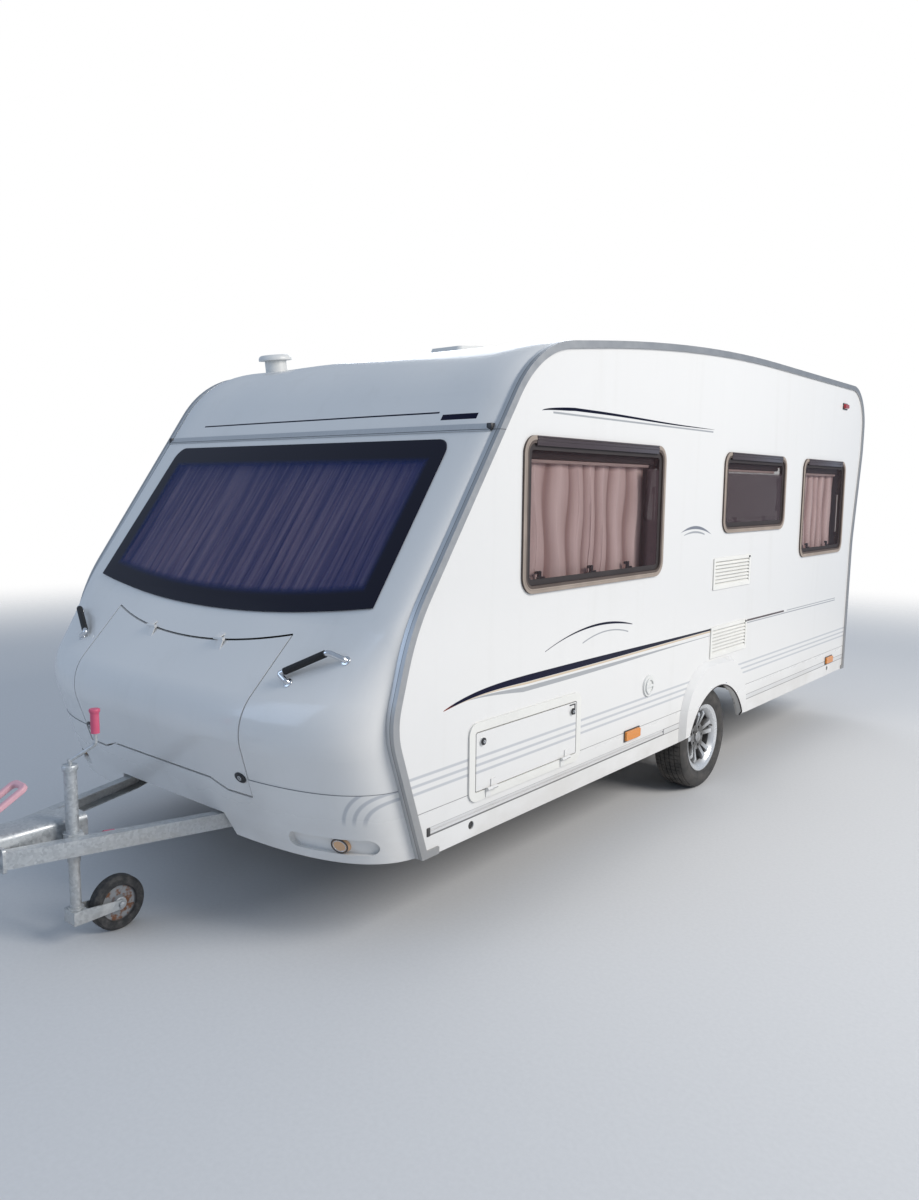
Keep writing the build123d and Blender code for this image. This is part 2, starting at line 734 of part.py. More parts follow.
locker_opening = (*SIDE_LOCKER, LOCKER_CORNER)
cassette_opening = (*CASSETTE, LOCKER_CORNER)
doorway_opening = (*DOORWAY, DOORWAY_CORNER)
vent_inset = VENT_FACE - VENT_SLAT - 2
vent_openings = [
    (
        station - width / 2 + vent_inset,
        station + width / 2 - vent_inset,
        z - height / 2 + vent_inset,
        z + height / 2 - vent_inset,
        VENT_SLAT,
    )
    for station, z, width, height in VENTS
]

side_wall_left = side_wall(LEFT_WINDOWS, [locker_opening, *vent_openings])
write(side_wall_left, "side_wall_left")
wall_right = side_wall(RIGHT_WINDOWS, [doorway_opening, cassette_opening])
side_wall_right = mirrored(wall_right)
write(side_wall_right, "side_wall_right")

with BuildPart() as skirts:
    extrude(body_outline(), amount=HALF)
    extrude(body_outline(), amount=HALF - SKIRT_THICKNESS, mode=Mode.SUBTRACT)
    extrude(yz_polygon(below_wall), amount=HALF, mode=Mode.INTERSECT)
    extrude(arch_cut(ARCH_RADIUS + ARCH_MARGIN), amount=-60 - WALL, mode=Mode.SUBTRACT)
    for height, depth in ((GROOVE_HEIGHT, GROOVE_DEPTH), (GROOVE_SLOT, GROOVE_SLOT_DEPTH)):
        with BuildSketch(side_plane(HALF)):
            with Locations((at((GROOVE_FRONT + GROOVE_REAR) / 2), GROOVE_Z)):
                Rectangle(GROOVE_REAR - GROOVE_FRONT, height)
        extrude(amount=-depth, mode=Mode.SUBTRACT)
    for station in STEADY_STATIONS:
        with Locations(Plane(origin=(HALF, at(station), STEADY_SPINDLE_Z), z_dir=(1, 0, 0))):
            Hole(STEADY_HOLE_DIAMETER / 2, depth=SKIRT_THICKNESS + 1)
    mirror(about=Plane.YZ)
write(skirts, "skirts")

# Awning rails: an angle that caps the edge of each side wall all the way round.
with BuildPart() as awning_rails:
    extrude(body_outline(RAIL_LIP), amount=HALF + RAIL_OUT)
    extrude(body_outline(RAIL_LIP), amount=INNER_HALF, mode=Mode.SUBTRACT)
    extrude(body_outline(), amount=HALF + SEAT_GAP, mode=Mode.SUBTRACT)
    extrude(body_outline(-RAIL_FACE), amount=HALF + RAIL_OUT, mode=Mode.SUBTRACT)
    extrude(
        yz_polygon([(-2400, 0), (2400, 0), (2400, SKIRT_BOTTOM + 60), (-2400, SKIRT_BOTTOM + 60)]),
        amount=HALF + RAIL_OUT,
        mode=Mode.SUBTRACT,
    )
    split(bisect_by=Plane.XY.offset(SKIRT_BOTTOM), keep=Keep.TOP)
    mirror(about=Plane.YZ)
write(awning_rails, "awning_rails")

# Floor with the cut-outs over the wheels.
with BuildPart() as floor_panel:
    with BuildSketch(Plane.XY.offset(SKIRT_TOP)):
        with Locations((0, at((FLOOR_FRONT + FLOOR_REAR) / 2))):
            Rectangle(2 * (INNER_HALF - PANEL_END_GAP), FLOOR_REAR - FLOOR_FRONT)
    extrude(amount=FLOOR_THICKNESS)
    for side in (1, -1):
        with BuildSketch(side_plane(side * (WHEEL_BOX_INNER - SEAT_GAP))):
            with Locations((at(0), TYRE_RADIUS)):
                Circle(WHEEL_BOX_RADIUS)
        extrude(amount=side * HALF, mode=Mode.SUBTRACT)
write(floor_panel, "floor_panel")

# Wheel boxes over the tyres, open below.
with BuildPart() as wheel_boxes:
    with BuildSketch(side_plane(WHEEL_BOX_INNER)):
        with Locations((at(0), TYRE_RADIUS)):
            Circle(WHEEL_BOX_RADIUS - SEAT_GAP)
    extrude(amount=INNER_HALF - WHEEL_BOX_INNER - SEAT_GAP)
    with BuildSketch(side_plane(WHEEL_BOX_INNER + WHEEL_BOX_SKIN)):
        with Locations((at(0), TYRE_RADIUS)):
            Circle(WHEEL_BOX_RADIUS - WHEEL_BOX_SKIN)
    extrude(amount=INNER_HALF, mode=Mode.SUBTRACT)
    split(bisect_by=Plane.XY.offset(SKIRT_TOP), keep=Keep.TOP)
    mirror(about=Plane.YZ)
write(wheel_boxes, "wheel_boxes")


# Wheel arch spats.
def spat_outline(plane):
    """Outer outline of a spat, open at the foot."""
    with BuildSketch(plane) as outline:
        with BuildLine():
            top = FilletPolyline(
                (at(ARCH_STATION - SPAT_FOOT_HALF), SKIRT_BOTTOM),
                (at(ARCH_STATION - SPAT_HALF), SPAT_TOP),
                (at(ARCH_STATION + SPAT_HALF), SPAT_TOP),
                (at(ARCH_STATION + SPAT_FOOT_HALF), SKIRT_BOTTOM),
                radius=SPAT_CORNER,
            )
            Line(top @ 1, top @ 0)
        make_face()
    return outline.sketch


with BuildPart() as wheel_spats:
    extrude(spat_outline(side_plane(HALF + SEAT_GAP)), amount=SPAT_PROUD, taper=SPAT_TAPER)
    extrude(arch_cut(ARCH_RADIUS), amount=-120, mode=Mode.SUBTRACT)
    mirror(about=Plane.YZ)
write(wheel_spats, "wheel_spats")


# Windows: a seal frame in each opening and a pane in each frame.
def window_frames_in(windows, face):
    """Seal frames on the left side, in openings whose outer face lies at X = face."""
    with BuildPart() as frames:
        for front, rear, sill, head in windows:
            span = face - INNER_HALF + FRAME_PROUD
            extrude(
                panel_box(front, rear, sill, head, WINDOW_CORNER, side_plane(INNER_HALF), -SEAT_GAP), amount=span
            )
            extrude(
                panel_box(front, rear, sill, head, WINDOW_CORNER, side_plane(face + SEAT_GAP), FRAME_FLANGE),
                amount=FRAME_PROUD - SEAT_GAP,
            )
            extrude(
                panel_box(front, rear, sill, head, WINDOW_CORNER, side_plane(INNER_HALF), -FRAME_FACE),
                amount=span,
                mode=Mode.SUBTRACT,
            )
    return frames.part


def window_panes_in(windows, face):
    """Panes for the same frames."""
    with BuildPart() as panes:
        for front, rear, sill, head in windows:
            extrude(
                panel_box(front, rear, sill, head, WINDOW_CORNER, side_plane(face), -FRAME_FACE - SEAT_GAP),
                amount=-PANE_THICKNESS,
            )
    return panes.part


def rear_window_box(grow, outward, depth, mode=Mode.ADD):
    """Rounded block square to the sloped rear face, larger than the opening by grow all round."""
    with BuildSketch(rear_window_plane(outward)) as box:
        RectangleRounded(REAR_WINDOW_WIDTH + 2 * grow, REAR_WINDOW_HEIGHT + 2 * grow, WINDOW_CORNER + grow)
    extrude(box.sketch, amount=depth, mode=mode)


with BuildPart() as rear_frame:
    rear_window_box(FRAME_FLANGE, ROOF_CROWN + FRAME_PROUD, -SHELL - FRAME_PROUD)
    add(crowned_block(-REAR_SEAL), mode=Mode.SUBTRACT)
    rear_window_box(-REAR_SEAL, ROOF_CROWN + FRAME_PROUD, -SHELL - FRAME_PROUD)
    rear_window_box(-FRAME_FACE, ROOF_CROWN + 2 * FRAME_PROUD, -4 * WALL, Mode.SUBTRACT)

with BuildPart() as window_frames:
    add(window_frames_in(LEFT_WINDOWS, HALF))
    mirror(window_frames_in(RIGHT_WINDOWS, HALF), about=Plane.YZ)
    add(rear_frame.part)
write(window_frames, "window_frames")

with BuildPart() as window_panes:
    add(window_panes_in(LEFT_WINDOWS, HALF))
    mirror(window_panes_in(RIGHT_WINDOWS, HALF), about=Plane.YZ)
    rear_window_box(-FRAME_FACE - SEAT_GAP, ROOF_CROWN, -PANE_THICKNESS)
write(window_panes, "window_panes")

# Curtain rails and curtains behind the lounge, rear side and front windows.
curtain_x = INNER_HALF - CURTAIN_STANDOFF - CURTAIN_THICKNESS / 2
with BuildPart() as curtain_rails:
    for front, rear, sill, head in CURTAINED:
        with BuildSketch(side_plane(INNER_HALF - SEAT_GAP)):
            with Locations((at((front + rear) / 2), head + CURTAIN_RAIL_HEIGHT)):
                Rectangle(rear - front + 2 * CURTAIN_RAIL_OVERHANG, CURTAIN_RAIL_HEIGHT)
        extrude(amount=-CURTAIN_STANDOFF - CURTAIN_THICKNESS)
    mirror(about=Plane.YZ)
    with BuildSketch(Plane.XY.offset(FRONT_CURTAIN_TOP)):
        with Locations((0, at(FRONT_CURTAIN_STATION))):
            Rectangle(2 * (INNER_HALF - PANEL_END_GAP), CURTAIN_THICKNESS)
    extrude(amount=CURTAIN_RAIL_HEIGHT)
write(curtain_rails, "curtain_rails")

with BuildPart() as curtains:
    for front, rear, sill, head in CURTAINED:
        top = head + CURTAIN_RAIL_HEIGHT / 2 - SEAT_GAP
        bottom = sill - CURTAIN_DROP
        with BuildSketch(side_plane(curtain_x)):
            with Locations((at((front + rear) / 2), (top + bottom) / 2)):
                Rectangle(rear - front - 2 * CURTAIN_DROP, top - bottom)
        extrude(amount=CURTAIN_THICKNESS / 2, both=True)
    mirror(about=Plane.YZ)
    with BuildSketch(Plane.XY.offset(FRONT_CURTAIN_TOP - SEAT_GAP)):
        with Locations((0, at(FRONT_CURTAIN_STATION))):
            Rectangle(2 * FRONT_WINDOW_TOP_HALF, CURTAIN_THICKNESS)
    extrude(amount=-FRONT_CURTAIN_DROP)
write(curtains, "curtains")

# Gas locker: an open box behind the lid, trimmed to the back of the moulding.
with BuildPart() as gas_locker:
    add(front_shell(-FRONT_WALL - GAS_LOCKER_CLEARANCE, 700))
    with BuildSketch(Plane.XY.offset(FLOOR_TOP + SEAT_GAP)):
        with Locations((0, at(GAS_LOCKER_REAR))):
            Rectangle(2 * GAS_LOCKER_HALF, 600, align=(Align.CENTER, Align.MAX))
    extrude(amount=GAS_LOCKER_TOP - FLOOR_TOP, mode=Mode.INTERSECT)
    with BuildSketch(Plane.XY.offset(FLOOR_TOP + GAS_LOCKER_SKIN)):
        with Locations((0, at(GAS_LOCKER_REAR) - GAS_LOCKER_SKIN)):
            Rectangle(2 * (GAS_LOCKER_HALF - GAS_LOCKER_SKIN), 600, align=(Align.CENTER, Align.MAX))
    extrude(amount=GAS_LOCKER_TOP - FLOOR_TOP - 2 * GAS_LOCKER_SKIN, mode=Mode.SUBTRACT)
write(gas_locker, "gas_locker")


# Hinges. A place is a plane with its origin on the pin, x along the pin, y
# towards the leaf and z out of the wall.
def hinge_halves(places):
    """Fixed halves with their pins, and the halves that turn with the leaf."""
    pair = 2 * BARREL_LENGTH + BARREL_GAP
    along = (Align.CENTER, Align.CENTER, Align.MIN)
    with BuildPart() as fixed:
        with Locations(*places):
            Cylinder(BARREL_RADIUS, BARREL_LENGTH, rotation=(0, 90, 0), align=along)
            Cylinder(HINGE_PIN_RADIUS, pair, rotation=(0, 90, 0), align=along)
            with Locations((0, 0, SEAT_GAP - HINGE_OUT)):
                Box(BARREL_LENGTH, STRAP_REACH, STRAP_THICKNESS, align=(Align.MIN, Align.MAX, Align.MIN))
    with BuildPart() as turning:
        with Locations(*places):
            with Locations((BARREL_LENGTH + BARREL_GAP, 0, 0)):
                Cylinder(BARREL_RADIUS, BARREL_LENGTH, rotation=(0, 90, 0), align=along)
            with Locations((BARREL_LENGTH + BARREL_GAP, 0, -HINGE_OUT - 1)):
                Box(BARREL_LENGTH, STRAP_REACH, STRAP_THICKNESS + 1, align=(Align.MIN, Align.MIN, Align.MIN))
        with Locations(*places):
            Cylinder(HINGE_PIN_RADIUS + PIN_CLEARANCE, pair + 1, rotation=(0, 90, 0), align=along, mode=Mode.SUBTRACT)
    return fixed.part, turning.part


def opening_frame(opening, corner, face, proud):
    """Flat ring around an opening, on the outside of the left wall."""
    with BuildPart() as ring:
        extrude(panel_box(*opening, corner, side_plane(HALF + SEAT_GAP), face), amount=proud - SEAT_GAP)
        extrude(panel_box(*opening, corner, side_plane(HALF)), amount=proud, mode=Mode.SUBTRACT)
    return ring.part


def leaf(opening, corner, proud):
    """Leaf that closes an opening in the left wall, a little thinner than the wall and its frame."""
    return panel_box(*opening, corner, side_plane(HALF + proud), -LEAF_GAP), LEAF_BACK - WALL - proud


door_face = HALF + DOOR_FRAME_PROUD
locker_face = HALF + LOCKER_FRAME_PROUD
door_places = [
    Plane(origin=(door_face + HINGE_OUT, at(DOORWAY[0]) + LEAF_GAP / 2, z), x_dir=(0, 0, -1), z_dir=(1, 0, 0))
    for z in DOOR_HINGE_HEIGHTS
]


def low_hinges(opening):
    """Places of two hinges along the lower edge of an opening."""
    inset = STRAP_REACH + BARREL_LENGTH
    return [
        Plane(
            origin=(locker_face + HINGE_OUT, at(station), opening[2] + LEAF_GAP / 2), x_dir=(0, 1, 0), z_dir=(1, 0, 0)
        )
        for station in (opening[0] + inset, opening[1] - inset - 2 * BARREL_LENGTH)
    ]


door_hinges = hinge_halves(door_places)
cassette_hinges = hinge_halves(low_hinges(CASSETTE))
side_locker_hinges = hinge_halves(low_hinges(SIDE_LOCKER))

with BuildPart() as door_frames:
    add(opening_frame(SIDE_LOCKER, LOCKER_CORNER, LOCKER_FRAME_FACE, LOCKER_FRAME_PROUD))
    mirror(opening_frame(CASSETTE, LOCKER_CORNER, LOCKER_FRAME_FACE, LOCKER_FRAME_PROUD), about=Plane.YZ)
    mirror(opening_frame(DOORWAY, DOORWAY_CORNER, DOOR_FRAME_FACE, DOOR_FRAME_PROUD), about=Plane.YZ)
write(door_frames, "door_frames")

with BuildPart() as side_locker_door:
    outline, depth = leaf(SIDE_LOCKER, LOCKER_CORNER, LOCKER_FRAME_PROUD)
    extrude(outline, amount=depth)
    add(side_locker_hinges[1])
    with Locations(
        *[
            Plane(origin=(locker_face, at(station), SIDE_LOCKER[3] - LOCK_INSET), z_dir=(1, 0, 0))
            for station in (SIDE_LOCKER[0] + LOCK_INSET, SIDE_LOCKER[1] - LOCK_INSET)
        ]
    ):
        Cylinder(LOCK_RADIUS, LOCK_PROUD, align=(Align.CENTER, Align.CENTER, Align.MIN))
write(side_locker_door, "side_locker_door")

with BuildPart() as cassette_leaf:
    outline, depth = leaf(CASSETTE, LOCKER_CORNER, LOCKER_FRAME_PROUD)
    extrude(outline, amount=depth)
    add(cassette_hinges[1])
    with Locations(
        Plane(origin=(locker_face, at((CASSETTE[0] + CASSETTE[1]) / 2), CASSETTE[3] - LOCK_INSET), z_dir=(1, 0, 0))
    ):
        Cylinder(LOCK_RADIUS, LOCK_PROUD, align=(Align.CENTER, Align.CENTER, Align.MIN))
cassette_door = mirrored(cassette_leaf)
write(cassette_door, "cassette_door")

# Entrance door with a moulded lower panel, its window and its handle.
with BuildPart() as door_leaf:
    outline, depth = leaf(DOORWAY, DOORWAY_CORNER, DOOR_FRAME_PROUD)
    extrude(outline, amount=depth)
    extrude(panel_box(*DOOR_WINDOW, WINDOW_CORNER, side_plane(door_face)), amount=depth, mode=Mode.SUBTRACT)
    for low, high in DOOR_PANELS:
        extrude(
            panel_box(DOOR_WINDOW[0], DOOR_WINDOW[1], low, high, DOOR_PANEL_CORNER, side_plane(door_face)),
            amount=-DOOR_PANEL_DEPTH,
            mode=Mode.SUBTRACT,
        )
    add(door_hinges[1])
    with BuildSketch(side_plane(door_face)):
        with Locations((at(DOORWAY[1]) - DOOR_HANDLE_INSET, DOOR_HANDLE_Z)):
            RectangleRounded(*DOOR_HANDLE_PLATE, 10)
    extrude(amount=DOOR_HANDLE_PLATE_PROUD)
    with BuildSketch(side_plane(door_face)):
        with Locations((at(DOORWAY[1]) - DOOR_HANDLE_INSET, DOOR_HANDLE_Z)):
            RectangleRounded(DOOR_HANDLE_PLATE[0] * 0.4, DOOR_HANDLE_PLATE[1] * 0.8, 8)
    extrude(amount=DOOR_HANDLE_PROUD)
entrance_door = mirrored(door_leaf)
write(entrance_door, "entrance_door")

with BuildPart() as door_window_frame:
    mirror(window_frames_in([DOOR_WINDOW], door_face), about=Plane.YZ)
write(door_window_frame, "door_window_frame")

with BuildPart() as door_window_pane:
    mirror(window_panes_in([DOOR_WINDOW], door_face), about=Plane.YZ)
write(door_window_pane, "door_window_pane")

# Gas locker lid: hinge straps outside the moulding, and two turn locks.
lid_axis_station = LID_AXIS_SURFACE - LID_HINGE_OUT


def lid_strap(x, run, rise):
    """Barrel on the lid's axis with a strap that runs off it by run and rise."""
    axis_plane = side_plane(x)
    reach = sqrt(run * run + rise * rise)
    with BuildSketch(axis_plane) as strap:
        with Locations((at(lid_axis_station), LID_HINGE_Z)):
            Circle(BARREL_RADIUS)
        with Locations(Location((at(lid_axis_station), LID_HINGE_Z, 0), (0, 0, degrees(atan2(rise, run))))):
            Rectangle(reach, STRAP_THICKNESS, align=(Align.MIN, Align.CENTER))
    extrude(strap.sketch, amount=BARREL_LENGTH)


with BuildPart() as gas_locker_lid:
    add(lid_blank.part)
    for x in (-LID_HINGES, LID_HINGES):
        lid_strap(x, *LID_STRAP)
    with BuildSketch(side_plane(-INNER_HALF)):
        with Locations((at(lid_axis_station), LID_HINGE_Z)):
            Circle(HINGE_PIN_RADIUS + PIN_CLEARANCE)
    extrude(amount=2 * INNER_HALF, mode=Mode.SUBTRACT)
write(gas_locker_lid, "gas_locker_lid")

with BuildPart() as lid_hinges:
    for x in (-LID_HINGES, LID_HINGES):
        lid_strap(x - BARREL_GAP - BARREL_LENGTH, *PANEL_STRAP)
    add(front_shell(SEAT_GAP, 200), mode=Mode.SUBTRACT)
    for x in (-LID_HINGES, LID_HINGES):
        with BuildSketch(side_plane(x - BARREL_GAP - BARREL_LENGTH)):
            with Locations((at(lid_axis_station), LID_HINGE_Z)):
                Circle(HINGE_PIN_RADIUS)
        extrude(amount=2 * BARREL_LENGTH + BARREL_GAP)

with BuildPart() as hinges:
    add(side_locker_hinges[0])
    mirror(cassette_hinges[0], about=Plane.YZ)
    mirror(door_hinges[0], about=Plane.YZ)
    add(lid_hinges.part)
write(hinges, "hinges")


# Fridge vents: a frame with sloping slats.
def vent(station, z, width, height):
    """One vent on the left wall."""
    with BuildPart() as grille:
        with BuildSketch(side_plane(HALF + SEAT_GAP)):
            with Locations((at(station), z)):
                RectangleRounded(width, height, VENT_CORNER)
                Rectangle(width - 2 * VENT_FACE, height - 2 * VENT_FACE, mode=Mode.SUBTRACT)
        extrude(amount=VENT_PROUD - SEAT_GAP)
        pitch = (height - 2 * VENT_FACE) / VENT_SLATS
        for row in range(VENT_SLATS):
            low = z - height / 2 + VENT_FACE + row * pitch
            with BuildSketch(front_plane(at(station - width / 2 + VENT_FACE - 1))) as slat:
                with BuildLine():
                    Polyline(
                        (HALF + VENT_PROUD - 1, low - 1),
                        (HALF + VENT_PROUD - 1, low + VENT_SLAT),
                        (HALF - VENT_DEPTH, low + pitch + VENT_SLAT),
                        (HALF - VENT_DEPTH, low + pitch - 1),
                        close=True,
                    )
                make_face()
            extrude(slat.sketch, amount=2 * VENT_FACE - width - 2)
    return grille.part


with BuildPart() as fridge_vents:
    for station, z, width, height in VENTS:
        add(vent(station, z, width, height))
write(fridge_vents, "fridge_vents")

with BuildPart() as water_inlet:
    with BuildSketch(side_plane(HALF + SEAT_GAP)):
        with Locations((at(WATER_INLET[0]), WATER_INLET[1])):
            Circle(WATER_INLET_DIAMETER / 2)
    extrude(amount=WATER_INLET_FLANGE, taper=20)
    with BuildSketch(side_plane(HALF + WATER_INLET_FLANGE)):
        with Locations((at(WATER_INLET[0]), WATER_INLET[1])):
            Circle(WATER_INLET_DIAMETER * 0.36)
            Circle(WATER_INLET_DIAMETER * 0.27, mode=Mode.SUBTRACT)
            Rectangle(WATER_INLET_DIAMETER * 0.6, WATER_INLET_BAR)
    extrude(amount=WATER_INLET_RIM)
write(water_inlet, "water_inlet")

with BuildPart() as side_markers:
    for station, z in SIDE_MARKERS:
        with BuildSketch(side_plane(HALF + SEAT_GAP)):
            with Locations((at(station), z)):
                RectangleRounded(*SIDE_MARKER_SIZE, SIDE_MARKER_CORNER)
        extrude(amount=SIDE_MARKER_PROUD, taper=12)
    with BuildSketch(side_plane(HALF + SEAT_GAP)):
        with Locations((at(TOP_MARKER[0]), TOP_MARKER[1])):
            SlotOverall(*TOP_MARKER_SIZE)
    extrude(amount=TOP_MARKER_PROUD, taper=15)
    mirror(about=Plane.YZ)
write(side_markers, "side_markers")

# Rear lamps: two clusters of three lenses and a brake lamp over the window.
with BuildPart() as rear_lamps:
    for side in (1, -1):
        with BuildSketch(rear_foot_plane(REAR_LAMP_Z, ROOF_CROWN + SEAT_GAP)):
            with Locations((side * REAR_LAMP_X, 0)):
                RectangleRounded(*REAR_LAMP_SIZE, 24)
        extrude(amount=REAR_LAMP_PROUD - REAR_LENS_PROUD)
        with BuildSketch(rear_foot_plane(REAR_LAMP_Z, ROOF_CROWN + REAR_LAMP_PROUD - REAR_LENS_PROUD)):
            with Locations((side * REAR_LAMP_X, 0)):
                with GridLocations(REAR_LAMP_SIZE[0] / 3 - 4, 0, 3, 1):
                    RectangleRounded(REAR_LAMP_SIZE[0] / 3 - 14, REAR_LAMP_SIZE[1] - 24, 14)
        extrude(amount=REAR_LENS_PROUD, taper=10)
    with BuildSketch(Plane.XY.offset(BRAKE_LAMP_Z)):
        with Locations((0, at(REAR_OVERHANG))):
            Rectangle(BRAKE_LAMP_SIZE[0], BRAKE_LAMP_DEPTH, align=(Align.CENTER, Align.MAX))
    extrude(amount=BRAKE_LAMP_SIZE[1])
    add(crowned_body.part, mode=Mode.SUBTRACT)
write(rear_lamps, "rear_lamps")


# Grab handles: a bar on two posts that end on the panel behind them.
def handle(plane, length, stand, root):
    """One handle: x of the plane along the bar, z out of the panel, posts from root below the origin."""
    with BuildPart() as bar:
        with Locations(plane):
            with Locations((0, 0, stand)):
                Cylinder(HANDLE_RADIUS, length, rotation=(0, 90, 0))
            for end in (-1, 1):
                with Locations((end * (length / 2 - HANDLE_RADIUS), 0, -root)):
                    Cylinder(HANDLE_POST, stand + root, align=(Align.CENTER, Align.CENTER, Align.MIN))
    return bar.part


with BuildPart() as grab_handles:
    for side in (1, -1):
        front_place = Plane(
            origin=(side * HANDLE_X, at(HANDLE_STATION), HANDLE_Z),
            x_dir=(cos(radians(HANDLE_SWEEP)), side * sin(radians(HANDLE_SWEEP)), 0),
            z_dir=(side * sin(radians(HANDLE_SWEEP)), -cos(radians(HANDLE_SWEEP)), 0),
        )
        add(handle(front_place, HANDLE_LENGTH, 0.0, HANDLE_ROOT))
    add(front_shell(SEAT_GAP, 300), mode=Mode.SUBTRACT)
    for side in (1, -1):
        rear_face = rear_foot_plane(REAR_HANDLE_Z, ROOF_CROWN)
        rear_origin = rear_face.from_local_coords((side * HANDLE_X, 0, 0))
        rear_place = Plane(origin=rear_origin, x_dir=(1, 0, 0), z_dir=rear_face.z_dir)
        add(handle(rear_place, HANDLE_LENGTH, HANDLE_STAND, REAR_HANDLE_ROOT))
    add(crowned_body.part, mode=Mode.SUBTRACT)
write(grab_handles, "grab_handles")

# Roof fittings.
roof_low, roof_high = OUTLINE_CORNERS[2], OUTLINE_CORNERS[3]
roof_pitch = atan2(roof_high[1] - roof_low[1], roof_high[0] - roof_low[0])
roof_arc_end = roof_high[0] + roof_high[2] * sin(roof_pitch / 2) / cos(roof_pitch / 2)
roof_arc_start = roof_arc_end - roof_high[2] * sin(roof_pitch)


def roof_plane(x, station):
    """Plane on the roof, square to its slope."""
    if station > roof_arc_end:
        slope, z = 0.0, ROOF_TOP
    elif station > roof_arc_start:
        slope = asin((roof_arc_end - station) / roof_high[2])
        z = ROOF_TOP - roof_high[2] * (1 - cos(slope))
    else:
        slope = roof_pitch
        z = ROOF_TOP - roof_high[2] * (1 - cos(slope)) - (roof_arc_start - station) * sin(slope) / cos(slope)
    crown = ROOF_CROWN + SEAT_GAP
    return Plane(
        origin=(x, at(station) - crown * sin(slope), z + crown * cos(slope)),
        x_dir=(1, 0, 0),
        z_dir=(0, -sin(slope), cos(slope)),
    )


with BuildPart() as roof_fittings:
    with BuildSketch(roof_plane(*MUSHROOM_VENT)):
        Circle(MUSHROOM_NECK_RADIUS)
    extrude(amount=MUSHROOM_NECK_HEIGHT)
    with BuildSketch(roof_plane(*MUSHROOM_VENT).offset(MUSHROOM_NECK_HEIGHT)):
        Circle(MUSHROOM_DIAMETER / 2)
    extrude(amount=MUSHROOM_CAP_HEIGHT)
    fillet(roof_fittings.edges().filter_by(GeomType.CIRCLE).sort_by(Axis.Z)[-1], radius=MUSHROOM_CAP_EDGE)
    for x, station, size, height in ROOFLIGHTS:
        with BuildSketch(roof_plane(x, station)):
            RectangleRounded(size, size, 30)
        extrude(amount=height * 0.4)
        with BuildSketch(roof_plane(x, station).offset(height * 0.4)):
            RectangleRounded(size - 40, size - 40, 40)
        extrude(amount=height * 0.6, taper=25)
    add(crowned_body.part, mode=Mode.SUBTRACT)
write(roof_fittings, "roof_fittings")


# Wheels: built around the left hub, mirrored for the right.
def wheel_plane(angle):
    """Plane through the left wheel's axis: x outwards along it, y at an angle around it."""
    return Plane(
        origin=(0, AXLE_Y, TYRE_RADIUS),
        x_dir=(1, 0, 0),
        z_dir=(0, -sin(radians(angle)), cos(radians(angle))),
    )


WHEEL_AXIS = Axis((0, AXLE_Y, TYRE_RADIUS), (1, 0, 0))
tyre_inner_face = WHEEL_FACE - TYRE_WIDTH
tyre_middle = WHEEL_FACE - TYRE_WIDTH / 2

with BuildPart() as tyre_left:
    with BuildSketch(wheel_plane(0)):
        with BuildLine():
            half_tread, half_bead = TYRE_WIDTH * 0.40, TYRE_WIDTH * 0.44
            shoulder = Polyline(
                (tyre_middle - half_bead, RIM_LIP_RADIUS + SEAT_GAP),
                (tyre_middle - TYRE_WIDTH / 2, RIM_LIP_RADIUS + 44),
                (tyre_middle - TYRE_WIDTH / 2 + 3, TYRE_RADIUS - 24),
                (tyre_middle - half_tread, TYRE_RADIUS - 5),
            )
            tread = ThreePointArc(
                shoulder @ 1, (tyre_middle, TYRE_RADIUS), (tyre_middle + half_tread, TYRE_RADIUS - 5)
            )
            outside = Polyline(
                tread @ 1,
                (tyre_middle + TYRE_WIDTH / 2 - 3, TYRE_RADIUS - 24),
                (tyre_middle + TYRE_WIDTH / 2, RIM_LIP_RADIUS + 44),
                (tyre_middle + half_bead, RIM_LIP_RADIUS + SEAT_GAP),
            )
            Line(outside @ 1, shoulder @ 0)
        make_face()
    revolve(axis=WHEEL_AXIS)
write(tyre_left, "tyre_left")

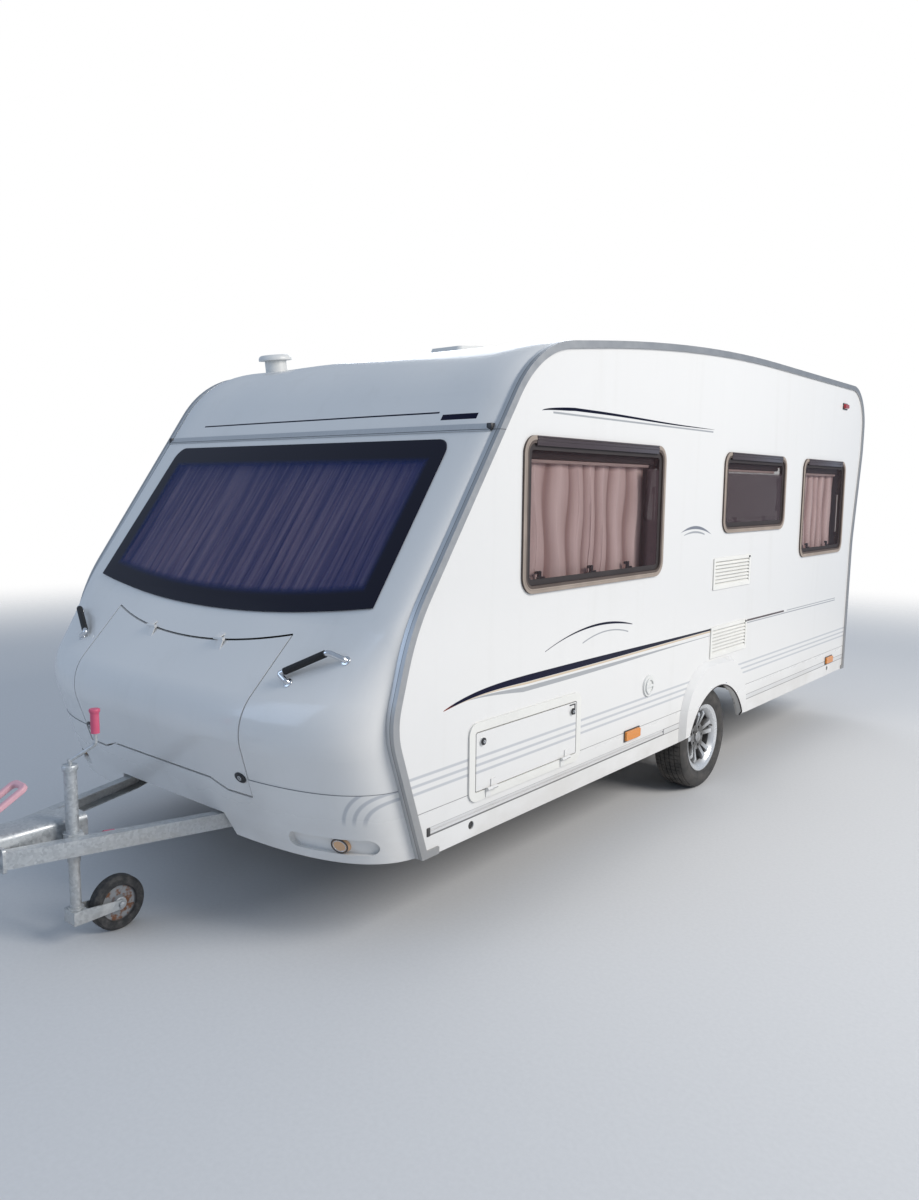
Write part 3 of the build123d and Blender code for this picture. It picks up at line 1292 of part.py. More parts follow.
rim_outer = tyre_middle + TYRE_WIDTH * 0.44
rim_inner = tyre_middle - TYRE_WIDTH * 0.44
with BuildPart() as rim_left:
    with BuildSketch(wheel_plane(0)):
        with BuildLine():
            Polyline(
                (rim_inner, RIM_LIP_RADIUS),
                (rim_inner, RIM_LIP_RADIUS - 18),
                (rim_inner + 30, RIM_RADIUS - 28),
                (rim_outer - 34, RIM_RADIUS - 28),
                (rim_outer - 8, RIM_RADIUS - 4),
                (rim_outer, RIM_LIP_RADIUS - 4),
                (rim_outer, RIM_LIP_RADIUS),
                (rim_outer - 12, RIM_LIP_RADIUS),
                (rim_outer - 22, RIM_RADIUS + 6),
                (rim_outer - 46, RIM_RADIUS - 20),
                (rim_inner + 34, RIM_RADIUS - 20),
                (rim_inner + 12, RIM_LIP_RADIUS),
                close=True,
            )
        make_face()
    revolve(axis=WHEEL_AXIS)
    for spoke in range(SPOKES):
        pair = 360 / SPOKES * (2 * (spoke // 2) + 0.5)
        angle = pair + (SPOKE_SPREAD if spoke % 2 else -SPOKE_SPREAD)
        with BuildSketch(wheel_plane(angle)):
            with BuildLine():
                Polyline(
                    (HUB_BACK, WHEEL_BORE_RADIUS + 12),
                    (SPOKE_BACK, RIM_RADIUS - 24),
                    (SPOKE_FACE, RIM_RADIUS - 24),
                    (SPOKE_FACE + 6, RIM_RADIUS - 40),
                    (HUB_FACE, HUB_RADIUS - 12),
                    (HUB_FACE, WHEEL_BORE_RADIUS + 12),
                    close=True,
                )
            make_face()
        extrude(amount=SPOKE_HALF_WIDTH, both=True)
    with BuildSketch(side_plane(HUB_BACK)):
        with Locations((AXLE_Y, TYRE_RADIUS)):
            Circle(HUB_RADIUS)
    extrude(amount=HUB_FACE - HUB_BACK)
    with BuildSketch(side_plane(HUB_FACE + 20)):
        with Locations((AXLE_Y, TYRE_RADIUS)):
            Circle(WHEEL_BORE_RADIUS)
            with PolarLocations(BOLT_CIRCLE_RADIUS, WHEEL_BOLTS):
                Circle(BOLT_RECESS_RADIUS)
    extrude(amount=HUB_BACK - HUB_FACE - 40, mode=Mode.SUBTRACT)
    with BuildSketch(side_plane(HUB_FACE - 4)):
        with Locations((AXLE_Y, TYRE_RADIUS)):
            Circle(WHEEL_BORE_RADIUS)
    extrude(amount=8)
write(rim_left, "rim_left")

drum_face = HUB_BACK - SEAT_GAP
with BuildPart() as drum_left:
    with BuildSketch(wheel_plane(0)):
        with BuildLine():
            Polyline(
                (drum_face - DRUM_WIDTH, STUB_RADIUS + 1),
                (drum_face - DRUM_WIDTH, STUB_RADIUS + 26),
                (drum_face - 14, STUB_RADIUS + 26),
                (drum_face - 14, DRUM_RADIUS - 9),
                (drum_face - DRUM_WIDTH, DRUM_RADIUS - 9),
                (drum_face - DRUM_WIDTH, DRUM_RADIUS),
                (drum_face - 8, DRUM_RADIUS),
                (drum_face, DRUM_RADIUS - 8),
                (drum_face, WHEEL_BORE_RADIUS - 1),
                (drum_face + 14, WHEEL_BORE_RADIUS - 1),
                (drum_face + 14, STUB_RADIUS + 1),
                close=True,
            )
        make_face()
    revolve(axis=WHEEL_AXIS)
write(drum_left, "drum_left")

write(mirrored(tyre_left), "tyre_right")
write(mirrored(rim_left), "rim_right")
write(mirrored(drum_left), "drum_right")

# Axle: a round tube with trailing arms, backing plates, stubs and saddles.
with BuildPart() as axle:
    with BuildSketch(side_plane(0)):
        with Locations((at(AXLE_TUBE_STATION), AXLE_TUBE_Z)):
            Circle(AXLE_TUBE_RADIUS)
    extrude(amount=AXLE_TUBE_HALF)
    with BuildSketch(side_plane(AXLE_TUBE_HALF)):
        with Locations((at(AXLE_TUBE_STATION), AXLE_TUBE_Z)):
            Circle(AXLE_TUBE_RADIUS - 6)
        with Locations((AXLE_Y, TYRE_RADIUS)):
            Circle(34)
        make_hull()
    extrude(amount=ARM_WIDTH)
    with BuildSketch(side_plane(AXLE_TUBE_HALF + ARM_WIDTH)):
        with Locations((AXLE_Y, TYRE_RADIUS)):
            Circle(DRUM_RADIUS + 6)
    extrude(amount=BACKING_PLATE)
    with BuildSketch(side_plane(AXLE_TUBE_HALF + ARM_WIDTH)):
        with Locations((AXLE_Y, TYRE_RADIUS)):
            Circle(STUB_RADIUS)
    extrude(amount=drum_face - AXLE_TUBE_HALF - ARM_WIDTH + 10)
    with BuildSketch(side_plane(CHASSIS_HALF - SADDLE_THICKNESS / 2)):
        with BuildLine():
            Polyline(
                (at(AXLE_TUBE_STATION - SADDLE_HALF), CHASSIS_BOTTOM - SEAT_GAP),
                (at(AXLE_TUBE_STATION + SADDLE_HALF), CHASSIS_BOTTOM - SEAT_GAP),
                (at(AXLE_TUBE_STATION) + AXLE_TUBE_RADIUS - 4, AXLE_TUBE_Z - 20),
                (at(AXLE_TUBE_STATION) - AXLE_TUBE_RADIUS + 4, AXLE_TUBE_Z - 20),
                close=True,
            )
        make_face()
    extrude(amount=SADDLE_THICKNESS)
    mirror(about=Plane.YZ)
write(axle, "axle")

# Chassis: two pressed channel rails with lightening holes, tied by crossmembers.
CHASSIS_TOP = SKIRT_TOP - SEAT_GAP
with BuildPart() as chassis_frame:
    with BuildSketch(Plane.XY.offset(CHASSIS_BOTTOM)):
        with Locations((CHASSIS_HALF, at((CHASSIS_FRONT + CHASSIS_REAR) / 2))):
            Rectangle(CHASSIS_WIDTH, CHASSIS_REAR - CHASSIS_FRONT)
    extrude(amount=CHASSIS_TOP - CHASSIS_BOTTOM)
    with BuildSketch(Plane.XY.offset(CHASSIS_BOTTOM + CHASSIS_SHEET)):
        with Locations((CHASSIS_HALF + CHASSIS_SHEET, at((CHASSIS_FRONT + CHASSIS_REAR) / 2))):
            Rectangle(CHASSIS_WIDTH, CHASSIS_REAR - CHASSIS_FRONT)
    extrude(amount=CHASSIS_TOP - CHASSIS_BOTTOM - 2 * CHASSIS_SHEET, mode=Mode.SUBTRACT)
    hole_pitch = (CHASSIS_REAR - CHASSIS_FRONT) / CHASSIS_HOLES
    with BuildSketch(side_plane(CHASSIS_HALF)):
        with Locations((at((CHASSIS_FRONT + CHASSIS_REAR) / 2), (CHASSIS_TOP + CHASSIS_BOTTOM) / 2)):
            with GridLocations(hole_pitch, 0, CHASSIS_HOLES, 1):
                Circle(CHASSIS_HOLE_RADIUS)
    extrude(amount=-CHASSIS_WIDTH, mode=Mode.SUBTRACT)
    mirror(about=Plane.YZ)
    for station in CROSSMEMBERS:
        with BuildSketch(front_plane(at(station + CROSSMEMBER_WIDTH / 2))):
            with Locations((0, (CHASSIS_TOP + CHASSIS_BOTTOM) / 2)):
                Rectangle(2 * CHASSIS_HALF - CHASSIS_WIDTH + 2, CROSSMEMBER_DEPTH)
                Rectangle(
                    2 * CHASSIS_HALF - CHASSIS_WIDTH + 4,
                    CROSSMEMBER_DEPTH - 2 * CHASSIS_SHEET,
                    mode=Mode.SUBTRACT,
                )
        extrude(amount=CROSSMEMBER_WIDTH)
        with BuildSketch(front_plane(at(station + CROSSMEMBER_WIDTH / 2))):
            with Locations((0, (CHASSIS_TOP + CHASSIS_BOTTOM) / 2)):
                Rectangle(2 * CHASSIS_HALF - CHASSIS_WIDTH + 2, CROSSMEMBER_DEPTH)
        extrude(amount=CHASSIS_SHEET)
write(chassis_frame, "chassis_frame")

# Drawbar: two channel members that rise to the chassis and meet at the coupling.
lap_x = CHASSIS_HALF - CHASSIS_WIDTH / 2 - DRAWBAR_WIDTH / 2 - SEAT_GAP
web_in = DRAWBAR_WIDTH - CHASSIS_SHEET


def drawbar_plan(outer, inner):
    """Plan of the left member between two distances either side of its middle line."""
    with BuildSketch(Plane.XY) as plan:
        with BuildLine():
            Polyline(
                (lap_x + outer, at(DRAWBAR_LAP)),
                (lap_x + outer, at(DRAWBAR_BEND)),
                (DRAWBAR_TIP_HALF + outer, at(DRAWBAR_TIP)),
                (DRAWBAR_TIP_HALF - inner, at(DRAWBAR_TIP)),
                (lap_x - inner, at(DRAWBAR_BEND)),
                (lap_x - inner, at(DRAWBAR_LAP)),
                close=True,
            )
        make_face()
    return plan.sketch


def drawbar_side(inset):
    """Side view of the members, their top and bottom moved inwards by inset."""
    top, low = DRAWBAR_TOP - inset, DRAWBAR_TOP - DRAWBAR_DEPTH + inset
    return yz_polygon(
        [
            (DRAWBAR_TIP - 1, low),
            (DRAWBAR_KNEE, low),
            (DRAWBAR_BEND, low + DRAWBAR_RISE),
            (DRAWBAR_LAP + 1, low + DRAWBAR_RISE),
            (DRAWBAR_LAP + 1, top + DRAWBAR_RISE),
            (DRAWBAR_BEND, top + DRAWBAR_RISE),
            (DRAWBAR_KNEE, top),
            (DRAWBAR_TIP - 1, top),
        ]
    )


with BuildPart() as member_pocket:
    extrude(drawbar_plan(DRAWBAR_WIDTH / 2 - CHASSIS_SHEET, DRAWBAR_WIDTH), amount=SKIRT_TOP)
    extrude(drawbar_side(CHASSIS_SHEET), amount=HALF, mode=Mode.INTERSECT)

with BuildPart() as drawbar:
    extrude(drawbar_plan(DRAWBAR_WIDTH / 2, DRAWBAR_WIDTH / 2), amount=SKIRT_TOP)
    extrude(drawbar_side(0.0), amount=HALF, mode=Mode.INTERSECT)
    add(member_pocket.part, mode=Mode.SUBTRACT)
    mirror(about=Plane.YZ)
write(drawbar, "drawbar")

# Overrun housing between the tips of the members, with the drawtube.
housing_half = DRAWBAR_TIP_HALF - DRAWBAR_WIDTH / 2 - SEAT_GAP
brake_lever_x = DRAWBAR_TIP_HALF - DRAWBAR_WIDTH / 2
with BuildPart() as overrun_housing:
    with BuildSketch(front_plane(at(DRAWBAR_TIP + HOUSING_LENGTH))):
        with Locations((0, BALL_Z - HOUSING_DROP)):
            RectangleRounded(2 * housing_half, HOUSING_HEIGHT, HOUSING_CORNER)
    extrude(amount=HOUSING_LENGTH)
    with BuildSketch(front_plane(at(DRAWBAR_TIP))):
        with Locations((0, DRAWBAR_TOP - DRAWBAR_DEPTH / 2)):
            RectangleRounded(2 * DRAWBAR_TIP_HALF + DRAWBAR_WIDTH, DRAWBAR_DEPTH + FLANGE_LIP, FLANGE_THICKNESS)
            with GridLocations(2 * DRAWBAR_TIP_HALF - 8, DRAWBAR_DEPTH - 6, 2, 2):
                Circle(FLANGE_BOLT_RADIUS, mode=Mode.SUBTRACT)
    extrude(amount=FLANGE_THICKNESS)
    with BuildSketch(front_plane(at(DRAWBAR_TIP))):
        with Locations((0, BALL_Z)):
            Circle(SHAFT_RADIUS + BUSH_WALL)
    extrude(amount=BUSH_LENGTH)
    with BuildSketch(front_plane(at(DRAWBAR_TIP))):
        with Locations((0, BALL_Z)):
            Circle(SHAFT_RADIUS)
    extrude(amount=SHAFT_LENGTH)
    with BuildSketch(side_plane(-brake_lever_x - BRAKE_LEVER_THICKNESS / 2)):
        with Locations((at(BRAKE_LEVER_FOOT[0]), BRAKE_LEVER_FOOT[1])):
            Circle(26)
        with Locations((at(BRAKE_LEVER_HEAD[0]), BRAKE_LEVER_HEAD[1])):
            Circle(BRAKE_LEVER_TIP)
        make_hull()
    extrude(amount=BRAKE_LEVER_THICKNESS)
write(overrun_housing, "overrun_housing")

# Rubber gaiter over the drawtube, between the housing's collar and the head.
collar_end = DRAWBAR_TIP - 40
with BuildPart() as shaft_gaiter:
    with BuildSketch(Plane.YZ):
        with BuildLine():
            pitch = (collar_end - HEAD_REAR - 2 * SEAT_GAP) / GAITER_FOLDS
            ridge = [(at(HEAD_REAR + SEAT_GAP), BALL_Z + GAITER_VALLEY)]
            for fold in range(GAITER_FOLDS):
                start = HEAD_REAR + SEAT_GAP + fold * pitch
                ridge.append((at(start + pitch * 0.5), BALL_Z + GAITER_RIDGE))
                ridge.append((at(start + pitch), BALL_Z + GAITER_VALLEY))
            Polyline(
                *ridge,
                (at(collar_end - SEAT_GAP), BALL_Z + SHAFT_RADIUS + SEAT_GAP),
                (at(HEAD_REAR + SEAT_GAP), BALL_Z + SHAFT_RADIUS + SEAT_GAP),
                close=True,
            )
        make_face()
    revolve(axis=Axis((0, 0, BALL_Z), (0, 1, 0)))
write(shaft_gaiter, "shaft_gaiter")

# Coupling head with its ball socket, and the lever that carries the loop grip.
grip_plane = Plane(
    origin=(0, at(LOOP_STATION), LOOP_Z),
    x_dir=(1, 0, 0),
    z_dir=(0, -sin(radians(LOOP_TILT)), cos(radians(LOOP_TILT))),
)
with BuildPart() as coupling_head:
    extrude(
        yz_polygon(
            [
                (COUPLING_NOSE, BALL_Z - SOCKET_THROAT),
                (COUPLING_NOSE, BALL_Z + 16),
                (COUPLING_NOSE + 24, BALL_Z + 50),
                (BALL_STATION + 20, BALL_Z + 60),
                (HEAD_REAR - 30, BALL_Z + 52),
                (HEAD_REAR, BALL_Z + 40),
                (HEAD_REAR, BALL_Z - SHAFT_RADIUS - 12),
                (HEAD_REAR - 60, BALL_Z - SHAFT_RADIUS - 12),
                (BALL_STATION + 50, BALL_Z - SOCKET_THROAT),
            ]
        ),
        amount=HEAD_HALF,
        both=True,
    )
    with BuildSketch(Plane.XY.offset(BALL_Z - 2 * SHAFT_RADIUS)):
        with Locations((0, at(COUPLING_NOSE) + HEAD_HALF)):
            Circle(HEAD_HALF)
        with Locations((0, at(HEAD_REAR - 30))):
            Rectangle(2 * HEAD_HALF - 16, 60)
        make_hull()
    extrude(amount=200, mode=Mode.INTERSECT)
    with Locations((0, at(BALL_STATION), BALL_Z)):
        Sphere(BALL_RADIUS + BALL_CLEARANCE, mode=Mode.SUBTRACT)
        Cylinder(
            BALL_RADIUS + BALL_CLEARANCE,
            100,
            align=(Align.CENTER, Align.CENTER, Align.MAX),
            mode=Mode.SUBTRACT,
        )
    with BuildSketch(front_plane(at(HEAD_REAR + 1))):
        with Locations((0, BALL_Z)):
            Circle(SHAFT_RADIUS + SEAT_GAP)
    extrude(amount=SHAFT_LENGTH - (DRAWBAR_TIP - HEAD_REAR) + 1 + SEAT_GAP, mode=Mode.SUBTRACT)
    lever_end = [grip_plane.from_local_coords((0, -LOOP_SIZE[1] / 2 - SEAT_GAP, n)) for n in (-8, 8)]
    with BuildSketch(side_plane(-LEVER_HALF)):
        with BuildLine():
            Polyline(
                (at(BALL_STATION + 10), BALL_Z + 50),
                (at(BALL_STATION + 10), BALL_Z + 84),
                (lever_end[1].Y, lever_end[1].Z),
                (lever_end[0].Y, lever_end[0].Z),
                (at(HEAD_REAR - 20), BALL_Z + 62),
                (at(HEAD_REAR - 20), BALL_Z + 50),
                close=True,
            )
        make_face()
    extrude(amount=2 * LEVER_HALF)
write(coupling_head, "coupling_head")

# Jockey wheel: outer tube with clamp and crank, inner tube, fork and wheel.
jockey_axis = Axis((JOCKEY_X, at(JOCKEY_STATION), 0), (0, 0, 1))
crank_x = JOCKEY_X + CRANK_REACH * sin(radians(CRANK_TURN))
crank_y = at(JOCKEY_STATION) + CRANK_REACH * cos(radians(CRANK_TURN))


def jockey_plane(z):
    """Plane square to the jockey tube at height z."""
    return Plane(origin=(JOCKEY_X, at(JOCKEY_STATION), z), x_dir=(1, 0, 0), z_dir=(0, 0, 1))


toggle_plane = Plane(
    origin=(JOCKEY_X, at(JOCKEY_STATION) + JOCKEY_TUBE_RADIUS + 8, JOCKEY_CLAMP_Z),
    z_dir=(0, cos(radians(TOGGLE_SLOPE)), -sin(radians(TOGGLE_SLOPE))),
)
member_x = DRAWBAR_TIP_HALF + (lap_x - DRAWBAR_TIP_HALF) * (JOCKEY_STATION - DRAWBAR_TIP) / (DRAWBAR_BEND - DRAWBAR_TIP)
with BuildPart() as jockey_tube:
    with BuildSketch(jockey_plane(JOCKEY_TUBE_BOTTOM)):
        Circle(JOCKEY_TUBE_RADIUS)
    extrude(amount=JOCKEY_TUBE_TOP - JOCKEY_TUBE_BOTTOM)
    with BuildSketch(jockey_plane(JOCKEY_TUBE_TOP)):
        Circle(JOCKEY_TUBE_RADIUS + JOCKEY_TUBE_WALL)
    extrude(amount=JOCKEY_COLLAR)
    with BuildSketch(jockey_plane(JOCKEY_CLAMP_Z - JOCKEY_CLAMP_HEIGHT / 2)):
        Circle(JOCKEY_TUBE_RADIUS + JOCKEY_CLAMP_WALL)
        Rectangle(member_x - JOCKEY_X, 2 * JOCKEY_TUBE_RADIUS, align=(Align.MIN, Align.CENTER))
    extrude(amount=JOCKEY_CLAMP_HEIGHT)
    with BuildSketch(Plane.XY.offset(JOCKEY_CLAMP_Z - JOCKEY_CLAMP_HEIGHT)):
        add(drawbar_plan(DRAWBAR_WIDTH / 2 + 400, DRAWBAR_WIDTH / 2 + SEAT_GAP))
    extrude(amount=2 * JOCKEY_CLAMP_HEIGHT, mode=Mode.SUBTRACT)
    with BuildSketch(jockey_plane(JOCKEY_TUBE_BOTTOM - 1)):
        Circle(JOCKEY_TUBE_RADIUS - JOCKEY_TUBE_WALL)
    extrude(amount=JOCKEY_TUBE_TOP - JOCKEY_TUBE_BOTTOM - 20, mode=Mode.SUBTRACT)
    with BuildSketch(jockey_plane(JOCKEY_TUBE_TOP + JOCKEY_COLLAR)):
        Circle(CRANK_RADIUS + 2)
    extrude(amount=JOCKEY_GEAR_HEIGHT)
    with BuildLine():
        crank_path = FilletPolyline(
            (JOCKEY_X, at(JOCKEY_STATION), JOCKEY_TUBE_TOP + 2 * JOCKEY_COLLAR),
            (crank_x, crank_y, JOCKEY_TUBE_TOP + CRANK_RISE),
            (crank_x, crank_y, CRANK_GRIP_Z + CRANK_GRIP_LENGTH + 4),
            radius=24,
        )
    with BuildSketch(Plane(origin=crank_path @ 0, z_dir=crank_path % 0)):
        Circle(CRANK_RADIUS)
    sweep(path=crank_path.wire())
    with BuildSketch(toggle_plane):
        Circle(TOGGLE_RADIUS)
    extrude(amount=TOGGLE_LENGTH)
write(jockey_tube, "jockey_tube")

inner_radius = JOCKEY_TUBE_RADIUS - JOCKEY_TUBE_WALL - JOCKEY_RUNNING_GAP
with BuildPart() as jockey_inner_tube:
    with BuildSketch(jockey_plane(JOCKEY_FORK_TOP + JOCKEY_RUNNING_GAP)):
        Circle(inner_radius)
    extrude(amount=JOCKEY_INNER_LENGTH)
    with BuildSketch(jockey_plane(JOCKEY_FORK_TOP + JOCKEY_RUNNING_GAP)):
        Circle(JOCKEY_CROWN_RADIUS)
    extrude(amount=8)
    with BuildSketch(jockey_plane(JOCKEY_FORK_TOP - JOCKEY_FORK_DEPTH)):
        Circle(JOCKEY_PIN_RADIUS)
    extrude(amount=JOCKEY_FORK_DEPTH + 2)
write(jockey_inner_tube, "jockey_inner_tube")

wheel_y = at(JOCKEY_STATION + JOCKEY_TRAIL)
fork_inner = JOCKEY_WHEEL_WIDTH / 2 + JOCKEY_FORK_GAP
fork_outer = fork_inner + JOCKEY_FORK_PLATE
with BuildPart() as jockey_fork:
    with BuildSketch(side_plane(JOCKEY_X - fork_outer)):
        with Locations((wheel_y, JOCKEY_WHEEL_RADIUS)):
            Circle(JOCKEY_FORK_EYE)
        with Locations((at(JOCKEY_STATION) - JOCKEY_CROWN_RADIUS, JOCKEY_FORK_TOP)):
            Rectangle(2 * JOCKEY_CROWN_RADIUS, JOCKEY_FORK_DEPTH, align=(Align.MIN, Align.MAX))
        make_hull()
    extrude(amount=2 * fork_outer)
    with BuildSketch(Plane.XY.offset(JOCKEY_FORK_TOP + 1)):
        with Locations((JOCKEY_X, at(JOCKEY_STATION) + JOCKEY_CROWN_RADIUS)):
            Rectangle(2 * fork_inner, 2 * JOCKEY_TRAIL, align=(Align.CENTER, Align.MIN))
    extrude(amount=-JOCKEY_FORK_TOP, mode=Mode.SUBTRACT)
    with BuildSketch(side_plane(JOCKEY_X - fork_outer - JOCKEY_FORK_PLATE)):
        with Locations((wheel_y, JOCKEY_WHEEL_RADIUS)):
            Circle(JOCKEY_PIN_RADIUS)
    extrude(amount=2 * (fork_outer + JOCKEY_FORK_PLATE))
    with BuildSketch(jockey_plane(JOCKEY_FORK_TOP + 1)):
        Circle(JOCKEY_PIN_RADIUS + PIN_CLEARANCE)
    extrude(amount=-JOCKEY_FORK_DEPTH - 2, mode=Mode.SUBTRACT)
write(jockey_fork, "jockey_fork")

with BuildPart() as jockey_wheel:
    with BuildSketch(Plane(origin=(JOCKEY_X, wheel_y, JOCKEY_WHEEL_RADIUS), x_dir=(1, 0, 0), z_dir=(0, -1, 0))):
        with BuildLine():
            half = JOCKEY_WHEEL_WIDTH / 2
            Polyline(
                (-half, JOCKEY_PIN_RADIUS + PIN_CLEARANCE),
                (-half, 26),
                (-half + 18, 32),
                (-half + 18, JOCKEY_WHEEL_RADIUS - 42),
                (-half + 4, JOCKEY_WHEEL_RADIUS - 34),
                (-half + 2, JOCKEY_WHEEL_RADIUS - 10),
                (-half + 12, JOCKEY_WHEEL_RADIUS),
                (half - 12, JOCKEY_WHEEL_RADIUS),
                (half - 2, JOCKEY_WHEEL_RADIUS - 10),
                (half - 4, JOCKEY_WHEEL_RADIUS - 34),
                (half - 18, JOCKEY_WHEEL_RADIUS - 42),
                (half - 18, 32),
                (half, 26),
                (half, JOCKEY_PIN_RADIUS + PIN_CLEARANCE),
                close=True,
            )
        make_face()
    revolve(axis=Axis((JOCKEY_X, wheel_y, JOCKEY_WHEEL_RADIUS), (1, 0, 0)))
write(jockey_wheel, "jockey_wheel")

# Grips: the loop on the coupling lever, the crank knob, toggle and handbrake grips.
with BuildPart() as handle_grips:
    with BuildSketch(grip_plane.offset(-LOOP_THICKNESS / 2)):
        RectangleRounded(*LOOP_SIZE, 30)
        RectangleRounded(LOOP_SIZE[0] - 2 * LOOP_BAR, LOOP_SIZE[1] - 2 * LOOP_BAR, 16, mode=Mode.SUBTRACT)
    extrude(amount=LOOP_THICKNESS)
    loop_faces = handle_grips.faces().filter_by(Axis((0, 0, 0), grip_plane.z_dir))
    fillet(loop_faces.edges(), radius=7)
    with BuildSketch(Plane(origin=(crank_x, crank_y, CRANK_GRIP_Z), z_dir=(0, 0, 1))):
        Circle(CRANK_GRIP_RADIUS)
        Circle(CRANK_RADIUS + SEAT_GAP, mode=Mode.SUBTRACT)
    extrude(amount=CRANK_GRIP_LENGTH)
    with BuildSketch(toggle_plane.offset(TOGGLE_LENGTH + SEAT_GAP)):
        Circle(TOGGLE_GRIP_RADIUS)
    extrude(amount=TOGGLE_GRIP_LENGTH)
    with BuildSketch(side_plane(-brake_lever_x)):
        with Locations((at(BRAKE_LEVER_HEAD[0]), BRAKE_LEVER_HEAD[1] + BRAKE_LEVER_TIP + SEAT_GAP)):
            RectangleRounded(30, 90, 12, align=(Align.CENTER, Align.MIN))
    extrude(amount=13, both=True)
write(handle_grips, "handle_grips")


